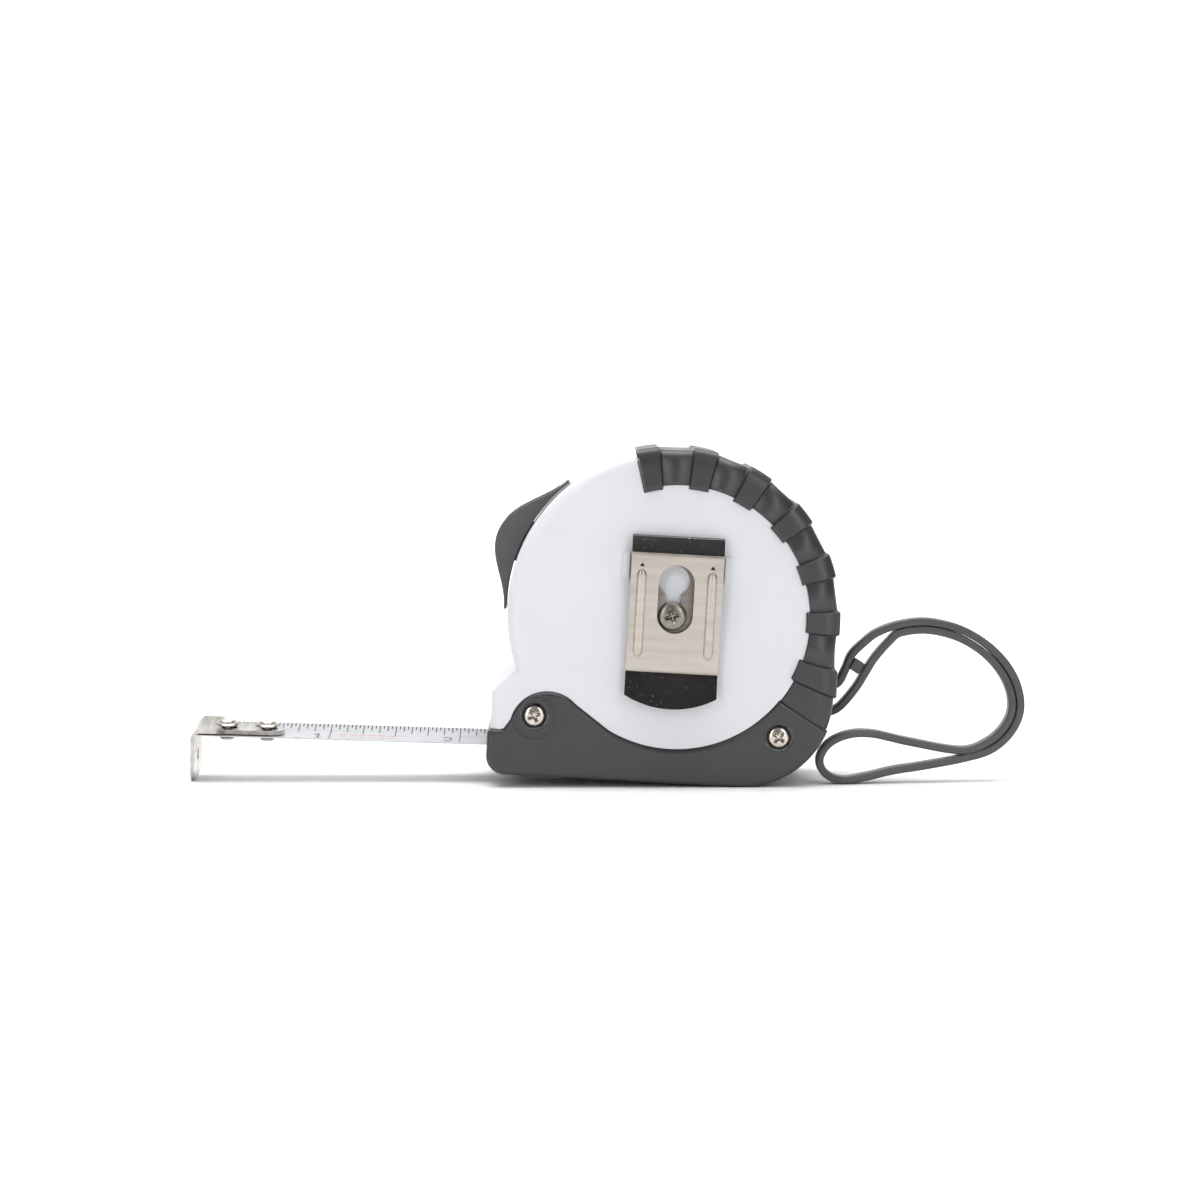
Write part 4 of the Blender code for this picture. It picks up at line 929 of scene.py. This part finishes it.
def make_scale():
    """Inch scale along the far edge, centimetre scale along the near one, numerals between."""
    edge = BLADE_W / 2
    strokes = []
    drawn = BLADE_OUT + BLADE_IN - 0.4
    for tick in range(1, int(drawn * 32 / INCH) + 1):
        x = -BLADE_OUT + tick * INCH / 32
        size = 1.25
        for step, length in ((32, 2 * edge - 0.2), (16, 5.4), (8, 4.3), (4, 3.4), (2, 2.2)):
            if tick % step == 0:
                size = length
                break
        width = 0.2 if size > 3 else 0.24
        strokes.append(([(x, edge - 0.06), (x, edge - 0.06 - size)], width))
    for tick in range(1, int(drawn) + 1):
        x = -BLADE_OUT + tick
        size = 2.6 if tick % 10 == 0 else 1.9 if tick % 5 == 0 else 1.1
        strokes.append(([(x, -edge + 0.06), (x, -edge + 0.06 + size)], 0.14))
    for number in (1, 2):
        x = -BLADE_OUT + number * INCH
        strokes += numeral(number, x - 3.3, -1.9, 1.9, 3.4, 0.38)
    for number in (2, 3):
        strokes += numeral(number, -BLADE_OUT + number * 10 - 1.3, -edge + 1.9, 0.8, 1.2, 0.16)
    piece("scale_print", ribbon(strokes), INK, "tape", matrix=BLADE)
    # Two rows of red dashes stand in for the words printed there.
    red = []
    for k in range(6):
        x = -BLADE_OUT + INCH + 1.9 + k * 1.9
        red += [([(x, y), (x + 1.35, y)], 0.34) for y in (-0.75, 1.15)]
    piece("red_print", ribbon(red), RED_INK, "tape", matrix=BLADE)


def hook_half(along):
    """Half the hook's width at a distance from the blade's end."""
    if along <= TONGUE_FROM:
        return HOOK_W / 2
    if along <= TONGUE_AT:
        share = smoothstep((along - TONGUE_FROM) / (TONGUE_AT - TONGUE_FROM))
        return HOOK_W / 2 + share * (TONGUE_W - HOOK_W) / 2
    nose = TONGUE_L - TONGUE_W / 2
    if along <= nose:
        return TONGUE_W / 2
    depth = min(along - nose, TONGUE_W / 2 - 0.04)
    return math.sqrt((TONGUE_W / 2) ** 2 - depth**2)


def hook_stations():
    """(x, z, half width, share of the blade's cup) along the hook's outer skin, tongue to tip."""
    lift, bend = HOOK_LIFT + HOOK_T, 1.5
    stations = []
    nose = [TONGUE_L - TONGUE_W / 2 * (1 - math.sin(math.radians(a))) for a in range(90, 0, -9)]
    shoulder = [TONGUE_AT, 5.4, 5.0, 4.6, 4.2, 3.9, TONGUE_FROM]
    for along in nose + [12.6, 11.0, 9.0, 7.2] + shoulder + [2.6, 1.8, 1.0]:
        stations.append((along - BLADE_OUT, lift, hook_half(along), 1.0))
    start = -BLADE_OUT - HOOK_LIFT - HOOK_T + bend
    for i in range(9):
        angle = math.radians(90.0 + 90.0 * i / 8)
        share = 1.0 - i / 8 * 0.85
        x, z = start + bend * math.cos(angle), lift - bend + bend * math.sin(angle)
        stations.append((x, z, HOOK_W / 2, share))
    x = start - bend
    low = 3.0 - HOOK_DROP
    for z in (-1.2, -2.2, -3.2, -4.4, low):
        stations.append((x, z, HOOK_W / 2, 0.0))
    for angle in range(12, 91, 12):
        turn = math.radians(min(angle, 88.0))
        stations.append((x, low - 3.0 * math.sin(turn), HOOK_W / 2 - 3.0 + 3.0 * math.cos(turn), 0.0))
    stations.append((x, -HOOK_DROP, HOOK_W / 2 - 3.0, 0.0))
    return stations


def make_hook():
    stations = hook_stations()
    rows = []
    for i, (x, z, half, share) in enumerate(stations):
        before, after = stations[max(i - 1, 0)], stations[min(i + 1, len(stations) - 1)]
        along = Vector((after[0] - before[0], after[1] - before[1])).normalized()
        inward = Vector((-along.y, along.x))
        outer, inner = [], []
        for j in range(17):
            y = half * (j / 8 - 1)
            lift = share * cup(y)
            outer.append((x, y, z + lift))
            inner.append((x + inward.x * HOOK_T, y, z + lift + inward.y * HOOK_T))
        rows.append(outer + inner[::-1])
    mesh = grid_solid("hook", rows)
    holes = []
    for along in RIVETS:
        x = -BLADE_OUT + along
        outline = arc((x + HOOK_PLAY, 0.0), RIVET_HOLE_R, -90.0, 90.0, 12.0)
        outline += arc((x, 0.0), RIVET_HOLE_R, 90.0, 270.0, 12.0)
        holes.append(slab("slot", outline, -3.0, 3.0, "Z"))
    nail = circle((0.0, -0.5 * HOOK_DROP), 1.1, 32)
    holes.append(slab("nail", nail, -BLADE_OUT - 4.0, -BLADE_OUT + 3.0, "X"))
    mesh = soften(carve(mesh, cuts(*holes)), 0.16, 3)
    piece("hook_plate", mesh, HOOK_METAL, "hook", ["end_hook"], BLADE)


def make_rivets():
    top = HOOK_LIFT + HOOK_T + 0.6
    profile = [
        (0.0, top - 0.5), (0.6, top - 0.48), (1.0, top - 0.32), (1.3, top + 0.05), (1.55, top + 0.36),
        (1.8, top + 0.52), (2.1, top + 0.5), (2.32, top + 0.3), (2.35, top + 0.1), (2.2, top - 0.04),
        (0.9, top), (0.9, -0.5), (1.3, -0.55), (1.45, -0.7), (1.4, -1.0), (1.1, -1.2), (0.0, -1.25),
    ]
    for index, along in enumerate(RIVETS):
        turn = Matrix.Translation((-BLADE_OUT + along, 0.0, 0.0))
        piece(f"tube_rivet_{index + 1}", turned("rivet", profile, 48), RIVET_METAL, "tape",
              [f"hook_rivet_{index + 1}"], BLADE @ turn)


make_blade()
make_scale()
make_hook()
make_rivets()


# ---------------------------------------------------------------- screws and clip


def cross_cutter(size, depth, top):
    """A tapered cross: wide at the top, narrow at the bottom."""
    def outline(scale):
        arm, half = size * scale, size * 0.24 * scale
        return [(arm, -half), (arm, half), (half, half), (half, arm), (-half, arm), (-half, half),
                (-arm, half), (-arm, -half), (-half, -half), (-half, -arm), (half, -arm), (half, -half)]
    levels = ((0.45, top - depth), (1.0, top), (1.35, top + 1))
    return grid_solid("cross", [[(u, v, z) for u, v in outline(scale)] for scale, z in levels])


def make_screw(name, node, centre, seat, length, head_r, head_t, material, turn):
    profile = [(0.0, head_t), (head_r * 0.3, head_t)]
    for a in range(25, 90, 9):
        sine, cosine = math.sin(math.radians(a)), math.cos(math.radians(a))
        profile.append((head_r * sine ** 0.8, head_t * (0.28 + 0.72 * cosine ** 0.7)))
    profile += [(head_r, head_t * 0.2), (head_r * 0.98, 0.0)]
    profile += [(1.1, 0.0), (1.1, -length + 1.1), (0.0, -length)]
    mesh = carve(turned(name, profile, 64), cuts(cross_cutter(head_r * 0.6, head_t * 0.75, head_t)))
    upright = Matrix.Translation((centre[0], -seat, centre[1])) @ Matrix.Rotation(math.radians(90), 4, "X")
    matrix = CASE @ upright @ Matrix.Rotation(math.radians(turn), 4, "Z")
    piece(name, soften(mesh, 0.05, 2, 50.0), material, "case", [node], matrix)


def make_screws():
    seat = HALF_W + BUMPER_PROUD - 0.7 - 1.3
    length = seat + 6.9
    make_screw("screw_front", "case_screw_front", FRONT_SCREW, seat, length, 2.3, 1.3, SCREW_METAL, 28.0)
    make_screw("screw_rear", "case_screw_rear", REAR_SCREW, seat, length, 2.3, 1.3, SCREW_METAL, 52.0)
    make_screw("screw_clip", "clip_screw", (0.0, 0.0), 14.8, 20.7, 2.7, 1.2, GUNMETAL, 20.0)


def strip_outline(points, thickness):
    left = [Vector(p) for p in points]
    right = []
    for i, point in enumerate(left):
        before = (point - left[i - 1]).normalized() if i else None
        after = (left[i + 1] - point).normalized() if i + 1 < len(left) else None
        along = before if after is None else after if before is None else (before + after).normalized()
        normal = Vector((-along.y, along.x))
        reference = after or before
        right.append(point + normal * thickness / normal.dot(Vector((-reference.y, reference.x))))
    return [tuple(p) for p in left] + [tuple(p) for p in reversed(right)]


def leaf_y(z):
    """Outer face of the clip's leaf at a height."""
    share = (z - 11.3) / (-10.8 - 11.3)
    return -HALF_W - 3.2 + share * 1.3


def make_clip():
    face = -HALF_W - CLIP_GAP
    line = [
        (face, -11.0), (face, 14.2), (face - 0.1, 14.75), (face - 0.5, 15.15), (face - 0.95, 15.28),
        (face - 1.5, 15.0), (-HALF_W - 3.0, 12.6), (-HALF_W - 3.17, 12.0), (-HALF_W - 3.2, 11.3),
        (-HALF_W - 1.95, -10.2), (-HALF_W - 1.92, -10.8), (-HALF_W - 2.05, -11.5), (-HALF_W - 3.6, -17.6),
    ]
    low = CLIP_X - CLIP_W / 2
    mesh = slab("clip", strip_outline(line, CLIP_T), low, low + CLIP_W, "X")
    half = WINDOW_HALF
    window = arc((CLIP_X, WINDOW[1] - half), half, 0.0, 180.0, 7.5)
    window += arc((CLIP_X, WINDOW[0] + half), half, 180.0, 360.0, 7.5)
    plate_top = face - CLIP_T - 0.4
    keyhole = arc((0.0, KEYHOLE_UP), KEYHOLE_R, -59.0, 239.0, 7.5) + arc((0.0, 0.0), 1.5, 180.0, 360.0, 12.0)
    tip = arc((CLIP_X, -17.6 + 18.0), 18.0, -125.0, -55.0, 3.0)
    tip += [(tip[-1][0], -23.6), (tip[0][0], -23.6)]
    steps = cuts(slab("window", window, -19.0, plate_top), slab("keyhole", keyhole, plate_top, face + 1.0),
                 slab("tip", tip, -21.0, plate_top))
    for turn in (-1, 1):
        x = CLIP_X + turn * BEAD_X
        dimple = [(x - 0.45, 9.35), (x + 0.45, 9.35), (x + 0.1, 9.95), (x - 0.1, 9.95)]
        steps += cuts(slab("dimple", dimple, -19.0, plate_top))
    mesh = soften(carve(mesh, steps), 0.07, 2)
    beads = []
    for turn in (-1, 1):
        x = CLIP_X + turn * BEAD_X
        rows = []
        for k in range(33):
            z = 8.9 - 16.9 * k / 32
            fade = math.sqrt(max(0.02, 1 - max(0.0, (abs(z - 0.45) - 7.2) / 1.3) ** 2))
            ring = []
            for j in range(13):
                angle = math.pi * j / 12
                proud = 0.62 * fade * math.sin(angle)
                ring.append((x - 0.95 * fade * math.cos(angle), leaf_y(z) + 0.12 - proud, z))
            rows.append(ring)
        beads.append(("UNION", grid_solid("bead", rows)))
    mesh = carve(mesh, beads)
    for polygon in mesh.polygons:
        centre = polygon.center
        outer_side = centre.y < -HALF_W - 1.2
        # The camera-facing top bend and the lower tip take the dark metal: painted dark reflection.
        dark = centre.z > 12.2 and polygon.normal.y < -0.25 or centre.z < -11.0 and outer_side
        inside = abs(centre.x - CLIP_X) < half + 0.3 and WINDOW[0] - 0.4 < centre.z < WINDOW[1] + 0.4
        # The plate's face under the leaf is darkened with painted shade.
        plate = centre.y > plate_top + 0.1 and polygon.normal.y < -0.5
        # The window's inner walls get the near-black nickel: painted shade.
        shaded_wall = inside and outer_side and polygon.normal.y > -0.35
        polygon.material_index = 1 if dark else 2 if plate else 3 if shaded_wall else 0
    piece("clip_leaf", mesh, [LEAF, PAINTED_REFLECTION_METAL, PAINTED_SHADE_PLATE, PAINTED_SHADE_WALL], "clip", ["belt_clip"], smooth=40.0)


make_screws()
make_clip()

for node, material in (("spool", SPOOL_GREY), ("spool_cover", SPOOL_GREY), ("mainspring", SPRING),
                       ("blade_coil", LACQUER)):
    obj = frame["nodes"][node]
    obj.data.materials.clear()
    obj.data.materials.append(material)


# ---------------------------------------------------------------- floor and light


def make_floor():
    """A seamless white sweep: floor in front, a softly glowing backdrop curving up behind."""
    profile = [(-3.0, 0.0), (-1.0, 0.0), (0.0, 0.0), (0.6, 0.0)]
    profile += [(0.6 + 0.6 * math.sin(math.radians(a)), 0.6 - 0.6 * math.cos(math.radians(a)))
                for a in range(6, 91, 6)]
    profile.append((1.2, 3.0))
    vertices = [(x, y, z) for y, z in profile for x in (-4.0, 4.0)]
    faces = [(2 * i, 2 * i + 1, 2 * i + 3, 2 * i + 2) for i in range(len(profile) - 1)]
    mesh = bpy.data.meshes.new("sweep")
    mesh.from_pydata(vertices, [], faces)
    mesh.shade_smooth()
    shader = Shader("studio_white")
    shader.colour(shader.noise(3.0, 2.0), (0.3, (0.9, 0.9, 0.9)), (0.7, (0.92, 0.92, 0.92)))
    shader.set(Roughness=0.9, Specular_IOR_Level=0.1, Emission_Color=(1.0, 1.0, 1.0, 1.0))
    split = shader.node("ShaderNodeSeparateXYZ")
    shader.link(shader.coords, split.inputs["Vector"])
    glow = shader.node("ShaderNodeMapRange", interpolation_type="SMOOTHSTEP")
    for socket, value in (("From Min", 0.1), ("From Max", 0.6), ("To Min", 0.0), ("To Max", 0.5)):
        glow.inputs[socket].default_value = value
    shader.link(split.outputs["Y"], glow.inputs["Value"])
    shader.link(glow.outputs["Result"], shader.bsdf.inputs["Emission Strength"])
    mesh.materials.append(shader.material)
    placed("studio_floor", mesh)


def add_light(name, place, aim, size, power):
    light = bpy.data.lights.new(name, "AREA")
    light.shape = "RECTANGLE"
    light.size, light.size_y = size
    light.energy = power
    obj = placed(name, light)
    obj.location = place
    obj.rotation_euler = (Vector(place) - Vector(aim)).to_track_quat("Z", "Y").to_euler()


def light_scene():
    world = bpy.data.worlds.new("studio")
    bpy.context.scene.world = world
    world.use_nodes = True
    tree = world.node_tree
    background = tree.nodes["Background"]
    background.inputs["Color"].default_value = (1.0, 1.0, 1.0, 1.0)
    # Bright above and behind, dim in front, so that metal and rubber have something to reflect.
    facing = tree.nodes.new("ShaderNodeVectorMath")
    facing.operation = "DOT_PRODUCT"
    facing.inputs[1].default_value = (0.0, 0.16, 0.25)
    strength = tree.nodes.new("ShaderNodeMath")
    strength.operation = "ADD"
    strength.inputs[1].default_value = 0.34
    tree.links.new(tree.nodes.new("ShaderNodeTexCoord").outputs["Generated"], facing.inputs[0])
    tree.links.new(facing.outputs["Value"], strength.inputs[0])
    tree.links.new(strength.outputs["Value"], background.inputs["Strength"])
    add_light("top_softbox", (0.0, -0.02, 0.95), (0.0, 0.0, 0.0), (1.1, 0.7), 10.0)
    add_light("left_strip", (-0.4, -0.8, 0.2), (0.0, 0.0, 0.03), (0.14, 0.8), 1.85)
    add_light("right_strip", (0.4, -0.8, 0.22), (0.0, 0.0, 0.03), (0.14, 0.8), 1.8)
    bpy.context.scene.view_settings.view_transform = "Standard"


make_floor()
light_scene()
